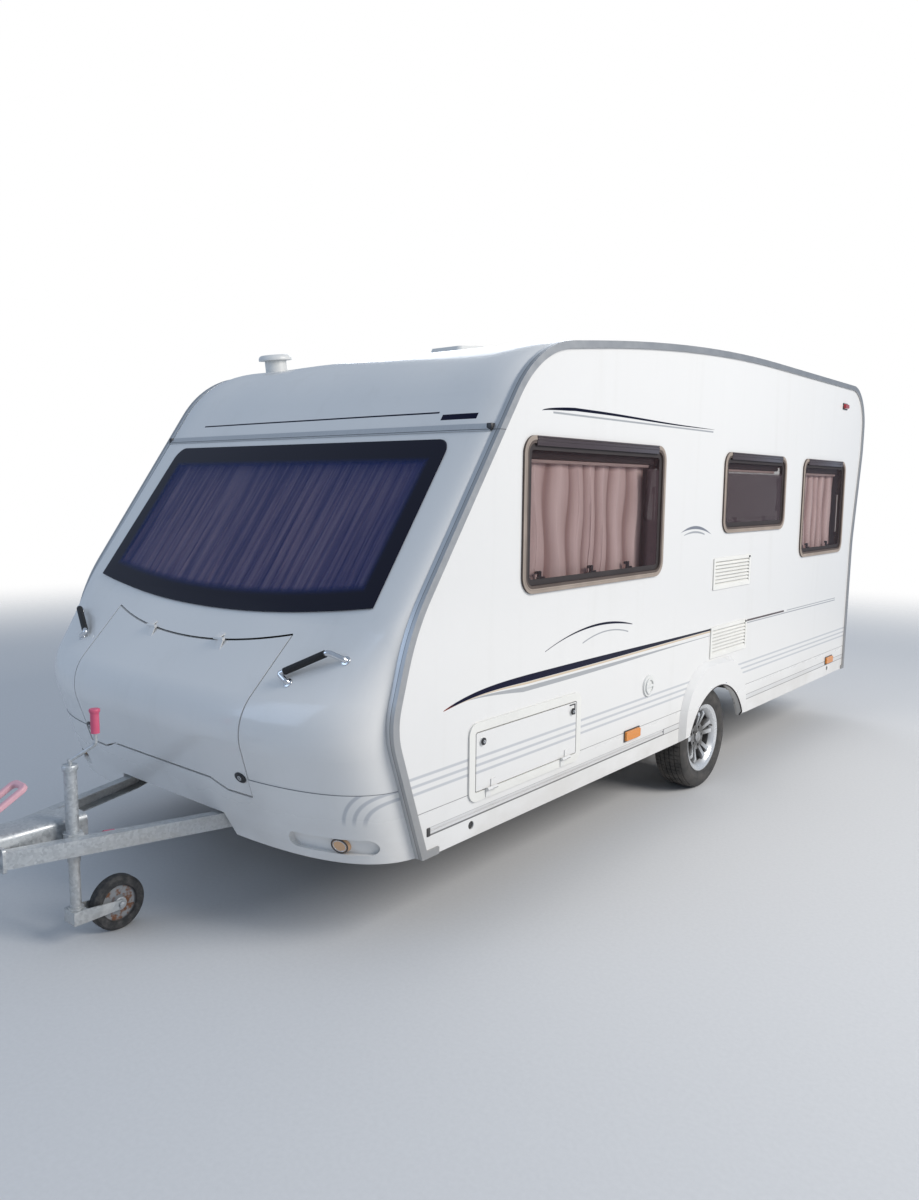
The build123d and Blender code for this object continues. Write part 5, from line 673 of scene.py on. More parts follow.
def joint_lines(finish, colour):
    """The dark joint over the skirt and the two shadowed edges of the awning groove in it."""
    ahead = finish.ramp(finish.y - AXLE_Y, GROOVE_START, GROOVE_START + 0.005)
    joint = finish.band(finish.z, SKIRT_TOP, 0.0014, 0.0008)
    lower = finish.band(finish.z, GROOVE_LOW, 0.0022)
    upper = finish.band(finish.z, GROOVE_HIGH, 0.0016)
    edges = finish.highest(lower, upper) * ahead
    between = finish.band(finish.z, (GROOVE_LOW + GROOVE_HIGH) / 2, 0.0135, 0.001) * ahead
    layers = [(between * 0.35, PALE_BAND), (edges, grey(0.17)), (joint * 0.85, grey(0.12))]
    return finish.painted(colour, layers)


def side_finish(name):
    """The body's white with the swooshes and bands on its outside and a lining inside."""
    finish = body_white(name)
    outside = finish.ramp(abs(finish.x), WALL_X - 0.022, WALL_X - 0.016)
    colour, ink = side_graphics(finish, chosen("body_colour"))
    return gelcoat(finish, finish.blend(outside, LINING, joint_lines(finish, colour)), ink)


def front_joint(finish, colour):
    """The dark line where the nose meets its lower panel."""
    ahead = finish.ramp(finish.y, -1.0, -1.2)
    joint = finish.band(finish.z, FRONT_JOINT, 0.0013, 0.0008) * ahead
    return finish.blend(joint * 0.8, colour, (0.13, 0.14, 0.15))


def plain_body_finish(name, jointed=True):
    """The body's white alone, or with the joint of the nose across it."""
    finish = body_white(name)
    white = chosen("body_colour")
    return gelcoat(finish, front_joint(finish, white) if jointed else white)


def front_lower_finish(name):
    """The body's white with the bands turning down round each lower front corner."""
    finish = body_white(name)
    reach = finish.reach(abs(finish.x) - 1.165, finish.z - 0.500)
    fade = finish.ramp(finish.z, 0.505, 0.545)
    layers = [
        (finish.band(reach, radius, BAND_HALF, BAND_SOFT) * fade, PALE_BAND)
        for radius in (0.118, 0.148, 0.179)
    ]
    return gelcoat(finish, front_joint(finish, finish.painted(chosen("body_colour"), layers)))


def roof_cap_finish(name):
    """The body's white with a thin dark line over the seam and a short bar at its left end."""
    finish = body_white(name)
    line = finish.band(finish.z, 2.052, 0.0035) * finish.band(finish.x, -0.02, 0.83)
    bar = finish.band(finish.z, 2.030, 0.012) * finish.band(finish.x, 0.93, 0.095)
    ink = finish.highest(line, bar)
    return gelcoat(finish, finish.blend(ink, chosen("body_colour"), NAVY), ink)


def rail_finish(name):
    """Aluminium rail: drawn lines, a duller insert down its middle and small pits."""
    finish = Finish(name, metallic=0.85)
    pits = finish.cells(180)
    grain = finish.noise(60, 3, stretch=(4, 0.3, 0.3))
    insert = finish.ramp(abs(finish.x), WALL_X - 0.010, WALL_X - 0.006)
    seam = finish.band(finish.z, 1.972, 0.0014) * finish.ramp(finish.y, -1.0, -1.2)
    edge = finish.band(abs(finish.x), WALL_X - 0.008, 0.0011)
    colour = finish.blend(grain, (0.50, 0.51, 0.52), (0.66, 0.67, 0.68))
    layers = [(insert * 0.55, grey(0.33)), (finish.highest(seam, edge) * 0.85, grey(0.06))]
    return finish.done(
        dusted(finish, finish.painted(colour, layers), 0.4, 0.8),
        0.34 + 0.18 * grain,
        bump=(finish.ramp(pits, 0.15, 0.0), 0.0004, 0.3),
    )


def rubber_finish(name, colour, dusty=0.25):
    """Moulded rubber or soft plastic: fine grain with paler, dry patches."""
    finish = Finish(name)
    grain = finish.noise(420, 2)
    dry = finish.noise(7, 4)
    patches = finish.ramp(dry, 0.4, 0.75) * dusty
    return finish.done(
        finish.blend(patches, colour, scaled(colour, 1.7, 0.03)),
        0.52 + 0.22 * dry,
        bump=(grain, 0.0004, 0.35),
    )


def plastic_finish(name, colour, roughness=0.38, grain_size=0.0012):
    """Moulded plastic: pebbled skin, faded a little where the sun reaches it."""
    finish = Finish(name)
    pebble = finish.noise(1 / grain_size, 2)
    fade = finish.noise(5, 3)
    return finish.done(
        dusted(finish, finish.blend(fade, colour, scaled(colour, 1.12, 0.012)), 0.3),
        roughness - 0.06 + 0.14 * fade,
        bump=(pebble, 0.0002, 0.3),
    )


def galvanised_finish(name):
    """Hot-dip zinc: overlapping grey crystals, white bloom and dust low down."""
    finish = Finish(name)
    colours = finish.cells(110, output="Color")
    spangle = Value(finish, finish.node("ShaderNodeSeparateColor", inputs={0: colours}).outputs[0])
    bloom = finish.ramp(finish.noise(14, 5), 0.52, 0.78)
    tone = finish.blend(spangle, (0.45, 0.47, 0.48), (0.60, 0.62, 0.63))
    tone = finish.blend(bloom * 0.55, tone, (0.66, 0.67, 0.66))
    return finish.done(
        dusted(finish, tone, 0.45, 0.55),
        0.36 + 0.2 * spangle + 0.2 * bloom,
        bump=(finish.noise(90, 3), 0.0005, 0.3),
        metallic=0.6 - 0.4 * bloom,
    )


def alloy_finish(name):
    """Silver-painted cast alloy with brake dust that darkens it towards the hub, and painted shade
    in its deep parts.
    """
    finish = Finish(name, metallic=0.55, coat_weight=0.4, coat_roughness=0.08)
    radius = finish.reach(finish.z - AXLE_Z, finish.y - AXLE_Y)
    grime = finish.ramp(finish.noise(22, 5), 0.30, 0.75)
    # Painted shade: the deep parts, set back towards the hub face, go almost black.
    deep = finish.ramp(abs(finish.x), 1.112, 1.072)
    # dust carries the brake dust and that painted shade; it also roughens the surface.
    dust = grime * (0.12 + 0.35 * finish.ramp(radius, 0.12, 0.04)) + 0.85 * deep
    return finish.done(
        finish.blend(finish.lowest(dust, 0.95), (0.72, 0.73, 0.74), (0.09, 0.085, 0.08)),
        0.26 + 0.35 * finish.lowest(dust, 1.0),
        bump=(finish.noise(160, 2), 0.0002, 0.2),
    )


def tyre_finish(name):
    """Tyre rubber, brown with dust on its tread and in a ring on its wall."""
    finish = Finish(name)
    radius = finish.reach(finish.z - AXLE_Z, finish.y - AXLE_Y)
    patches = finish.ramp(finish.noise(16, 5), 0.28, 0.78)
    tread = finish.ramp(radius, TYRE_RADIUS - 0.020, TYRE_RADIUS - 0.002)
    wall = finish.band(radius, 0.238, 0.018, 0.018)
    dust = patches * finish.lowest(0.30 + 0.45 * tread + 0.25 * wall, 1.0)
    return finish.done(
        finish.blend(dust * 0.75, (0.030, 0.029, 0.028), (0.20, 0.18, 0.16)),
        0.62 + 0.28 * dust,
        bump=(finish.noise(240, 3), 0.0006, 0.4),
    )


def cast_iron_finish(name):
    """Brake drum: brown rust over dark iron, rough with scale."""
    finish = Finish(name, metallic=0.2)
    scale = finish.noise(60, 6)
    rust = finish.ramp(scale, 0.35, 0.70)
    return finish.done(
        finish.blend(rust, (0.055, 0.050, 0.048), (0.21, 0.10, 0.055)),
        0.62 + 0.3 * scale,
        bump=(scale, 0.0012, 0.6),
    )


def board_finish(name):
    """Floor board painted dark below, its grain along the caravan."""
    finish = Finish(name)
    grain = finish.noise(26, 5, stretch=(1, 0.05, 1))
    patches = finish.ramp(finish.noise(3, 4), 0.45, 0.8)
    tone = finish.blend(grain, (0.12, 0.090, 0.065), (0.26, 0.205, 0.150))
    return finish.done(
        finish.blend(patches * 0.5, tone, DUST), 0.62 + 0.2 * grain, bump=(grain, 0.0008, 0.4)
    )


def painted_steel_finish(name):
    """Dark paint, chipped to bright steel on a few spots and scuffed all over."""
    finish = Finish(name)
    chips = finish.ramp(finish.noise(46, 6), 0.68, 0.72)
    scuffs = finish.noise(20, 4, stretch=(1, 0.2, 1))
    layers = [(scuffs * 0.3, grey(0.16)), (chips, (0.30, 0.29, 0.28))]
    return finish.done(
        finish.painted((0.035, 0.036, 0.040), layers),
        0.30 + 0.30 * scuffs,
        bump=(1 - chips, 0.0004, 0.5),
        metallic=chips * 0.8,
    )


def lens_finish(name, colour):
    """Coloured lens over fine square optics; paler in the nose and red by the roof."""
    finish = Finish(name, coat_weight=0.6, coat_roughness=0.03)
    rows = finish.waves(finish.z, 0.006)
    columns = finish.waves(finish.y + finish.x, 0.006)
    optics = finish.highest(rows, columns) * 0.5 + 0.5
    tone = finish.blend(optics, scaled(colour, 0.55), colour)
    nose, roof = finish.ramp(finish.y, -1.5, -1.8), finish.ramp(finish.z, 2.0, 2.1)
    return finish.done(
        finish.painted(tone, [(nose, (0.66, 0.40, 0.22)), (roof, (0.34, 0.020, 0.022))]),
        0.12 + 0.15 * optics,
        bump=(optics, 0.0004, 0.4),
    )


def side_pane_finish(name):
    """Bronze double-skinned acrylic: seen through, with dust and fine crazing on it, and more
    opaque where it paints the shade of the dark interior.
    """
    finish = Finish(name, coat_weight=0.10, coat_roughness=0.02, specular_ior_level=0.2)
    film = finish.noise(5, 4, stretch=(1, 1, 0.4))
    # Painted shade: below their heads, over a stretch along the sides, the panes are made more
    # opaque so that they show dark, as the shaded interior would.
    painted_interior_shade = finish.band(finish.y, 0.89, 1.05, 0.03) * finish.ramp(finish.z, 1.850, 1.835) * 0.55
    return finish.done(
        finish.blend(film * 0.25, (0.040, 0.018, 0.019), (0.10, 0.065, 0.065)),
        0.04 + 0.08 * film,
        bump=(finish.noise(1.7, 2), 0.0010, 0.3),
        alpha=0.20 + 0.06 * film + painted_interior_shade,
    )


def front_pane_finish(name):
    """The front window: clear in its middle, with a broad dark printed border."""
    low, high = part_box("front_window")
    finish = Finish(name, specular_ior_level=0.25)
    side = finish.ramp(abs(finish.x), high.x - 0.120, high.x - 0.070)
    top = finish.ramp(finish.z, high.z - 0.105, high.z - 0.070)
    sag = (finish.x / high.x) * (finish.x / high.x) * (1.298 - low.z)
    bottom = finish.ramp(finish.z - low.z - sag, 0.100, 0.060)
    border = finish.highest(side, top, bottom)
    film = finish.noise(3, 4)
    return finish.done(
        finish.blend(border, (0.012, 0.030, 0.150), (0.001, 0.001, 0.012)),
        0.04 + 0.05 * film,
        bump=(finish.noise(1.2, 2), 0.0008, 0.3),
        alpha=finish.lowest(0.40 + 0.05 * film + 0.60 * border, 1.0),
    )


def curtain_finish(name):
    """Pleated cloth: a weave with slubs down its length, painted highlights on the crests and
    painted shade in the valleys; the front curtains get painted shade with streaks of painted
    highlight.
    """
    colour = chosen("curtain_colour")
    finish = Finish(name, sheen_weight=0.3, sheen_roughness=0.5)
    u, v, _ = finish.parts(finish.node("ShaderNodeTexCoord").outputs["UV"])
    weave = finish.waves(u, 1 / 700) * finish.waves(v, 1 / 420) * 0.5 + 0.5
    slubs = finish.noise(60, 4, stretch=(1, 1, 0.04))
    low, high = solids_of("curtains")[-1]
    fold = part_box("curtains")[1].x - (high.x - low.x) / 2
    sides = finish.ramp(abs(finish.x), fold - 0.06, fold - 0.05)
    # Painted highlight on the outer crests of the side curtains' pleats, and painted shade in their
    # valleys.
    crest_highlight = finish.ramp(abs(finish.x), fold - 0.001, fold + 0.009) * sides
    valley_shade = finish.ramp(abs(finish.x), fold + 0.002, fold - 0.009) * sides
    front = finish.ramp(finish.y, -1.0, -1.2)
    # streaks marks the painted highlights along the front curtains' folds; between them the front
    # curtains get painted shade.
    streaks = finish.ramp(finish.noise(46, 3, stretch=(1, 0.03, 0.03)), 0.38, 0.70)
    tone = finish.blend(0.25 * weave + 0.75 * slubs, scaled(colour, 0.78), scaled(colour, 1.18))
    # Painted shade in the pleats' valleys.
    tone = finish.blend(valley_shade * 0.85, tone, (0.50, 0.40, 0.38), "MULTIPLY")
    # Painted shade, bluish, over the front curtains except on the streaks.
    tone = finish.blend(front * (1 - streaks) * 0.8, tone, (0.42, 0.42, 0.50), "MULTIPLY")
    # bright is the painted highlight: the crests of the side curtains and the streaks on the front
    # ones.
    bright = finish.highest(crest_highlight * 0.75, front * streaks)
    return finish.done(
        finish.blend(bright, tone, scaled(colour, 1.32)),
        0.78 + 0.15 * weave,
        bump=(weave, 0.0003, 0.4),
    )


def chrome_finish(name):
    """Bright plated steel with fine wiping marks."""
    finish = Finish(name, metallic=1.0)
    marks = finish.noise(70, 3, stretch=(0.2, 1, 1))
    colour = finish.blend(marks, (0.60, 0.61, 0.63), (0.80, 0.81, 0.83))
    return finish.done(colour, 0.14 + 0.16 * marks, bump=(marks, 0.0001, 0.2))


def grip_finish(name):
    """Hand grips: pink in the shade, faded on the loop and black on the brake lever."""
    colour = chosen("grip_colour")
    finish = Finish(name)
    scuffs = finish.noise(34, 5)
    loop = finish.ramp(finish.y, -2.70, -2.76)
    brake = finish.ramp(finish.y, -2.95, -3.00)
    faded = finish.lowest(loop + scuffs * 0.25, 1.0)
    layers = [(faded, scaled(colour, 0.55, 0.38)), (brake, (0.020, 0.020, 0.022))]
    return finish.done(
        finish.painted(colour, layers),
        0.32 + 0.25 * scuffs,
        bump=(finish.noise(300, 2), 0.0003, 0.3),
    )


def rear_lens_finish(name):
    """Lamp clusters: an amber, a red and a clear lens between black dividers."""
    finish = Finish(name, coat_weight=0.6, coat_roughness=0.03)
    across = abs(finish.x)
    amber = finish.ramp(across, 0.860, 0.864)
    clear = finish.ramp(across, 0.740, 0.736)
    optics = finish.waves(finish.x, 0.007) * 0.25 + 0.75
    layers = [(amber, (0.75, 0.22, 0.01)), (clear, (0.62, 0.60, 0.58))]
    tone = finish.blend(optics, (0.10, 0.05, 0.05), finish.painted((0.45, 0.008, 0.008), layers))
    dividers = finish.highest(finish.band(across, 0.737, 0.005), finish.band(across, 0.863, 0.005))
    rim = finish.ramp(abs(finish.z - 0.610), 0.052, 0.054) * finish.ramp(finish.z, 1.2, 1.1)
    return finish.done(
        finish.blend(finish.highest(dividers, rim), tone, (0.012, 0.012, 0.013)),
        0.10 + 0.2 * finish.noise(12, 3),
        bump=(optics, 0.0004, 0.4),
    )


def jockey_tyre_finish(name):
    """Small solid tyre, scuffed grey, on a rusting pressed rim."""
    finish = Finish(name)
    middle = sum(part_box("jockey_wheel"), Vector()) / 2
    rim = finish.ramp(finish.reach(finish.y - middle.y, finish.z - middle.z), 0.071, 0.066)
    wear = finish.noise(40, 5)
    rust = finish.ramp(wear, 0.45, 0.62)
    metal = finish.blend(rust, (0.30, 0.31, 0.32), (0.20, 0.09, 0.045))
    scuffs = finish.ramp(wear, 0.35, 0.8) * 0.6
    tyre = finish.blend(scuffs, (0.030, 0.030, 0.031), (0.15, 0.14, 0.13))
    return finish.done(
        finish.blend(rim, tyre, metal), 0.60 + 0.25 * wear, bump=(wear, 0.0008, 0.4)
    )


def floor_finish(name):
    """Pale floor that fades out into the backdrop."""
    finish = Finish(name, roughness=0.85)
    speckle = finish.noise(60, 4)
    away = finish.reach(finish.x, finish.y)
    finish.set(
        base_color=finish.blend(speckle, grey(0.60), grey(0.67)),
        alpha=finish.ramp(away, 13.0, 6.0),
    )
    return finish.material


# How each finish is made: its function and what that takes after the finish's name
FINISHES = {
    "Side white": (side_finish,),
    "Front white": (plain_body_finish,),
    "Lid white": (plain_body_finish, False),
    "Lower front white": (front_lower_finish,),
    "Roof cap white": (roof_cap_finish,),
    "Rail aluminium": (rail_finish,),
    "Brown seal": (rubber_finish, (0.085, 0.062, 0.052)),
    "Dark seal": (rubber_finish, (0.024, 0.017, 0.017), 0.2),
    "Taupe seal": (rubber_finish, (0.30, 0.245, 0.205)),
    "Sleeve rubber": (rubber_finish, (0.014, 0.014, 0.015)),
    "Gaiter rubber": (rubber_finish, (0.022, 0.022, 0.023)),
    "Cream plastic": (plastic_finish, (0.72, 0.71, 0.67), 0.42),
    "Roof plastic": (plastic_finish, (0.66, 0.66, 0.64), 0.30),
    "Pale plastic": (plastic_finish, (0.62, 0.62, 0.60)),
    "Black plastic": (plastic_finish, (0.016, 0.016, 0.018), 0.36),
    "Wheel box plastic": (plastic_finish, (0.020, 0.020, 0.020), 0.6, 0.004),
    "Hinge rail": (plastic_finish, (0.050, 0.036, 0.040), 0.18),
    "Blind bar": (plastic_finish, (0.50, 0.36, 0.33), 0.35),
    "Grip plastic": (grip_finish,),
    "Side acrylic": (side_pane_finish,),
    "Front acrylic": (front_pane_finish,),
    "Amber lens": (lens_finish, (0.80, 0.27, 0.02)),
    "Rear lenses": (rear_lens_finish,),
    "Galvanised steel": (galvanised_finish,),
    "Zinc fittings": (galvanised_finish,),
    "Coupling paint": (painted_steel_finish,),
    "Dark bolts": (painted_steel_finish,),
    "Chrome": (chrome_finish,),
    "Silver alloy": (alloy_finish,),
    "Drum iron": (cast_iron_finish,),
    "Tyre rubber": (tyre_finish,),
    "Jockey tyre": (jockey_tyre_finish,),
    "Painted board": (board_finish,),
    "Curtain cloth": (curtain_finish,),
    "Floor": (floor_finish,),
}


def material(name):
    """The finish of that name, made when a piece first asks for it."""
    make, *values = FINISHES[name]
    return bpy.data.materials.get(name) or make(name, *values)


# Settings


def colour_setting(name, description, default):
    return FloatVectorProperty(
        name=name, description=description, subtype="COLOR", size=3, default=default
    )


def length_setting(name, description, default):
    return FloatProperty(
        name=name, description=description, unit="LENGTH", default=default, min=0.002
    )


class CaravanLooks(bpy.types.PropertyGroup):
    """Colours that can be chosen."""

    body_colour: colour_setting("Body", "White of the body panels", (0.765, 0.755, 0.735))
    curtain_colour: colour_setting("Curtains", "Cloth of the curtains", (0.80, 0.56, 0.53))
    grip_colour: colour_setting("Grips", "Plastic of the hand grips", (0.62, 0.06, 0.15))


class CaravanSizes(bpy.types.PropertyGroup):
    """Sizes that can be chosen."""

    tread_depth: length_setting("Tread depth", "Height of the tread blocks", 0.0070)
    tread_blocks: IntProperty(
        name="Tread blocks",
        description="Blocks round each rib of a tyre",
        default=72,
        min=24,
        max=120,
    )
    pleat_width: length_setting("Pleat width", "From one side curtain pleat to the next", 0.135)
    front_pleat_width: length_setting("Front pleat width", "The same for the front curtains", 0.066)
    pleat_depth: length_setting("Pleat depth", "How far a pleat stands out", 0.012)
    bead_radius: length_setting("Window bead", "Radius of the bead round a pane", 0.0045)


# Operators

# The finish of each node of the frame
NODE_FINISHES = {
    "Side white": (
        "side_wall_left", "side_wall_right", "side_locker_door", "cassette_door", "entrance_door",
        "skirts",
    ),
    "Front white": ("front_panel", "roof_panel", "rear_panel", "wheel_spats"),
    "Lid white": ("gas_locker_lid", "hinges"),
    "Lower front white": ("front_lower_panel",),
    "Roof cap white": ("roof_cap",),
    "Rail aluminium": ("awning_rails", "curtain_rails", "front_seam_strip"),
    "Brown seal": ("window_frames", "door_window_frame"),
    "Cream plastic": ("fridge_vents", "door_frames"),
    "Roof plastic": ("roof_fittings", "water_inlet"),
    "Side acrylic": ("window_panes", "door_window_pane"),
    "Front acrylic": ("front_window",),
    "Amber lens": ("front_lamps", "side_markers"),
    "Rear lenses": ("rear_lamps",),
    "Wheel box plastic": ("wheel_boxes",),
    "Galvanised steel": (
        "chassis_frame", "drawbar", "overrun_housing", "jockey_tube", "jockey_inner_tube",
        "jockey_fork", "axle", *(name for name in NODES if name.startswith("steady_")),
    ),
    "Coupling paint": ("coupling_head",),
    "Gaiter rubber": ("shaft_gaiter",),
    "Jockey tyre": ("jockey_wheel",),
    "Grip plastic": ("handle_grips",),
    "Silver alloy": ("rim_left", "rim_right"),
    "Drum iron": ("drum_left", "drum_right"),
    "Painted board": ("floor_panel", "gas_locker"),
}


class CARAVAN_OT_finishes(bpy.types.Operator):
    """Gives every piece of the frame its finish"""

    bl_idname = "caravan.finishes"
    bl_label = "Finish the frame"

    def execute(self, context):
        for name, nodes in NODE_FINISHES.items():
            for node in nodes:
                slots = NODES[node].material_slots
                if not slots:
                    raise ValueError(f"{node} has no material slot")
                for slot in slots:
                    slot.material = material(name)
        return {"FINISHED"}


# Half the section of a tyre's wall, from its bead up to its shoulder: (across, radius)
TYRE_WALL = (
    (0.0580, 0.1868), (0.0690, 0.1972), (0.0808, 0.1972), (0.0836, 0.2000), (0.0852, 0.2046),
    (0.0846, 0.2084), (0.0874, 0.2160), (0.0905, 0.2262), (0.0922, 0.2380), (0.0920, 0.2430),
    (0.0914, 0.2445), (0.0910, 0.2540), (0.0893, 0.2640), (0.0868, 0.2730), (0.0842, 0.2795),
    (0.0812, 0.2842), (0.0780, 0.2872),
)
# How far from a tyre's middle each rib of tread blocks starts and ends
TREAD_RIBS = ((0.0, 0.0115), (0.0160, 0.0410), (0.0455, 0.0735))
# The tyre's inner side, which closes its section under the tread
TYRE_BED = ((-0.058, 0.1868), (-0.052, 0.1990), (0.052, 0.1990))


class CARAVAN_OT_tyres(bpy.types.Operator):
    """Builds the tyres: a bulged wall with a rim ridge and ribs of tread blocks"""

    bl_idname = "caravan.tyres"
    bl_label = "Tyres"

    def execute(self, context):
        sizes = context.scene.caravan_sizes
        low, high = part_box("tyre_left")
        centre = Vector(((low.x + high.x) / 2, AXLE_Y, AXLE_Z))
        floor = TYRE_RADIUS - sizes.tread_depth
        edges = sorted((edge for rib in TREAD_RIBS for edge in rib if edge), reverse=True)
        tread = [(shift, floor - 0.0055 * (shift / edges[0]) ** 2) for shift in edges]
        half = [*TYRE_WALL, *tread]
        mirrored = [(-shift, radius) for shift, radius in reversed(half[1:])]
        profile = [*half, *mirrored, *TYRE_BED]
        tyre = turned("tyre_left_tread", profile, centre, steps=sizes.tread_blocks, closed=True)

        def on_rib(middle, normal):
            shift = abs(middle.x - centre.x)
            reach = math.hypot(middle.y - centre.y, middle.z - centre.z)
            return reach > floor - 0.007 and any(start <= shift <= end for start, end in TREAD_RIBS)

        faces_where(tyre, on_rib)
        rise = sizes.tread_depth - 0.0004
        bpy.ops.mesh.inset(thickness=0.0013, depth=rise, use_individual=True)
        object_mode()
        other = copied(tyre, "tyre_right_tread", MIRROR_X)
        for piece, body, node in ((tyre, "wheel_l", "tyre_left"), (other, "wheel_r", "tyre_right")):
            placed(piece, body, "Tyre rubber")
            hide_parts(node)
        return {"FINISHED"}


# The section of a wheel's centre cap, from its rim to its middle: (height, radius)
CENTRE_CAP = (
    (-0.001, 0.0325), (0.003, 0.0325), (0.0052, 0.0305), (0.0058, 0.0270), (0.0050, 0.0262),
    (0.0062, 0.0180), (0.0068, 0.0),
)
WHEEL_BOLTS, BOLT_CIRCLE, BOLT_RECESS = 5, 0.056, 0.026
VALVE_X, VALVE_CIRCLE, VALVE_ANGLE = 1.086, 0.146, 18


class CARAVAN_OT_wheel_fittings(bpy.types.Operator):
    """Adds the wheel bolts in their recesses, a plain centre cap and the valve"""

    bl_idname = "caravan.wheel_fittings"
    bl_label = "Wheel fittings"

    def execute(self, context):
        hub_face = on_side("rim_left", AXLE_Y, AXLE_Z)[0].x

        def on_wheel(x, radius, degrees):
            back, up = polar(radius, degrees)
            return Vector((x, AXLE_Y + back, AXLE_Z + up))

        places = [
            on_wheel(hub_face - BOLT_RECESS, BOLT_CIRCLE, 360 / WHEEL_BOLTS * number)
            for number in range(WHEEL_BOLTS)
        ]
        bolts = hexagons("wheel_bolts_left", places, (1, 0, 0), 0.0062, 0.012)
        cap = turned("centre_cap_left", CENTRE_CAP, (hub_face, AXLE_Y, AXLE_Z))
        root = on_wheel(VALVE_X, VALVE_CIRCLE, VALVE_ANGLE)
        stem = disc("valve_stem", root, (1, 0, 0), 0.0040, 0.020, 16, 0.0004)
        top = disc("valve_cap", root + Vector((0.018, 0, 0)), (1, 0, 0), 0.0050, 0.009, 12, 0.001)
        for piece, finish, slot in (
            (bolts, "Dark bolts", "painted_steel"),
            (cap, "Silver alloy", "alloy"),
            (joined("valve_left", [stem, top]), "Black plastic", "black_plastic"),
        ):
            other = copied(piece, piece.name.replace("left", "right"), MIRROR_X)
            placed(piece, "wheel_l", finish)
            placed(other, "wheel_r", finish)
        return {"FINISHED"}


class CARAVAN_OT_curtains(bpy.types.Operator):
    """Hangs the gathered curtains behind the lounge, rear side and front windows"""

    bl_idname = "caravan.curtains"
    bl_label = "Curtains"

    def execute(self, context):
        sizes = context.scene.caravan_sizes
        chance = random.Random(7)
        pieces = []
        for number, (low, high) in enumerate(solids_of("curtains")):
            heights = (low.z, high.z)
            if high.x - low.x > 1.0:
                for side, span in (("right", (low.x, -0.003)), ("left", (0.003, high.x))):
                    pleats = self.pleats(span, sizes.front_pleat_width)
                    made = self.gather(f"front_curtain_{side}", span, heights, pleats, chance)
                    pieces.append(self.lean(made))
            else:
                end = low.y + (high.y - low.y) * (0.93 if high.y < AXLE_Y else 0.95)
                span = (low.y, end)
                pleats = self.pleats(span, sizes.pleat_width)
                made = self.gather(f"side_curtain_{number}", span, heights, pleats, chance)
                # Turns it from across the caravan to along it, at the depth of its solid.
                middle = (low.x + high.x) / 2
                made.data.transform(
                    Matrix(((0, 1, 0, middle), (1, 0, 0, 0), (0, 0, 1, 0), (0, 0, 0, 1)))
                )
                made.data.flip_normals()
                pieces.append(made)
        for piece in pieces:
            placed(piece, "caravan", "Curtain cloth", smooth=60)
        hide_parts("curtains")
        return {"FINISHED"}

    def pleats(self, span, width):
        """How many pleats of about a width go into a span."""
        return max(4, round((span[1] - span[0]) / width))

    def gather(self, name, span, heights, pleats, chance):
        """A curtain along X at Y = 0, in uneven pleats that open towards the hem."""
        first, last = span
        bottom, top = heights
        depth = bpy.context.scene.caravan_sizes.pleat_depth * 0.85
        shift, sway = chance.uniform(0, 6), chance.uniform(0.16, 0.30)
        deselect()
        bpy.ops.mesh.primitive_grid_add(x_subdivisions=pleats * 14, y_subdivisions=30, size=1)
        made = bpy.context.object
        for vertex in made.data.vertices:
            across, up = vertex.co.x + 0.5, vertex.co.y + 0.5
            wander = sway * math.sin(2 * math.pi * 1.7 * across + shift)
            wander += 0.07 * math.sin(9.0 * up + 13 * across)
            turn = 2 * math.pi * (pleats * across + wander)
            open_up = 0.50 + 0.50 * (1 - up) ** 0.6
            wave = math.sin(turn) + 0.22 * math.sin(2 * turn + shift)
            wave += 0.10 * math.sin(3.3 * turn + 5 * up)
            gather = 0.22 * (last - first) / pleats * open_up * math.sin(2 * turn + 0.4)
            edge = min(across, 1 - across, 0.04) / 0.04
            drift = 0.008 * (1 - up) * math.sin(6.5 * across + shift)
            run = first + (last - first) * across + (0.5 * gather + drift) * edge
            vertex.co = (run, depth * open_up * wave, bottom + (top - bottom) * up)
        return settled(name)

    def drop(self, curtain):
        """How far a curtain hangs from its head to its hem, measured down its slope."""
        places = [vertex.co for vertex in curtain.data.vertices]
        head, hem = max(place.z for place in places), min(place.z for place in places)
        rows = [
            [place.y for place in places if abs(place.z - height) < 0.0001]
            for height in (head, hem)
        ]
        fall = sum(rows[0]) / len(rows[0]) - sum(rows[1]) / len(rows[1])
        return math.hypot(head - hem, fall)

    def lean(self, curtain):
        """Lays a front curtain along the slope of the window, a little behind its inner face."""
        for vertex in curtain.data.vertices:
            start = Vector((vertex.co.x, -0.9, vertex.co.z))
            faces = [
                NODES[node].ray_cast(start, Vector((0, -1, 0)))
                for node in ("front_window", "front_panel")
            ]
            vertex.co.y += max(place.y for hit, place, _, _ in faces if hit) + 0.040
        return curtain


# What is made for every side window: its pieces, their finish and their slot
WINDOW_FITTINGS = (
    ("rims", "Dark seal", "seal"),
    ("beads", "Taupe seal", "seal"),
    ("hinge_rails", "Hinge rail", "seal"),
    ("blind_cases", "Dark seal", "trim"),
    ("blind_bars", "Blind bar", "trim"),
    ("catches", "Black plastic", "black_plastic"),
    ("stays", "Pale plastic", "trim"),
)
PANE_CORNER = 0.044
# The steps of the hinge rail: how far each stands out, and its heights above the pane
HINGE_RAIL = ((0.0085, -0.010, 0.014), (0.0115, 0.010, 0.023), (0.0100, 0.023, 0.032))
# A catch's foot, arm and thumb: both depths behind the pane, the span along it, the heights
# above its sill, and how round the edges are
CATCH = (
    (0.001, 0.008, (-0.030, 0.030), (0.014, 0.032), 0.003),
    (0.006, 0.018, (-0.011, 0.011), (0.012, 0.056), 0.004),
    (0.012, 0.019, (-0.028, 0.006), (0.042, 0.056), 0.003),
)


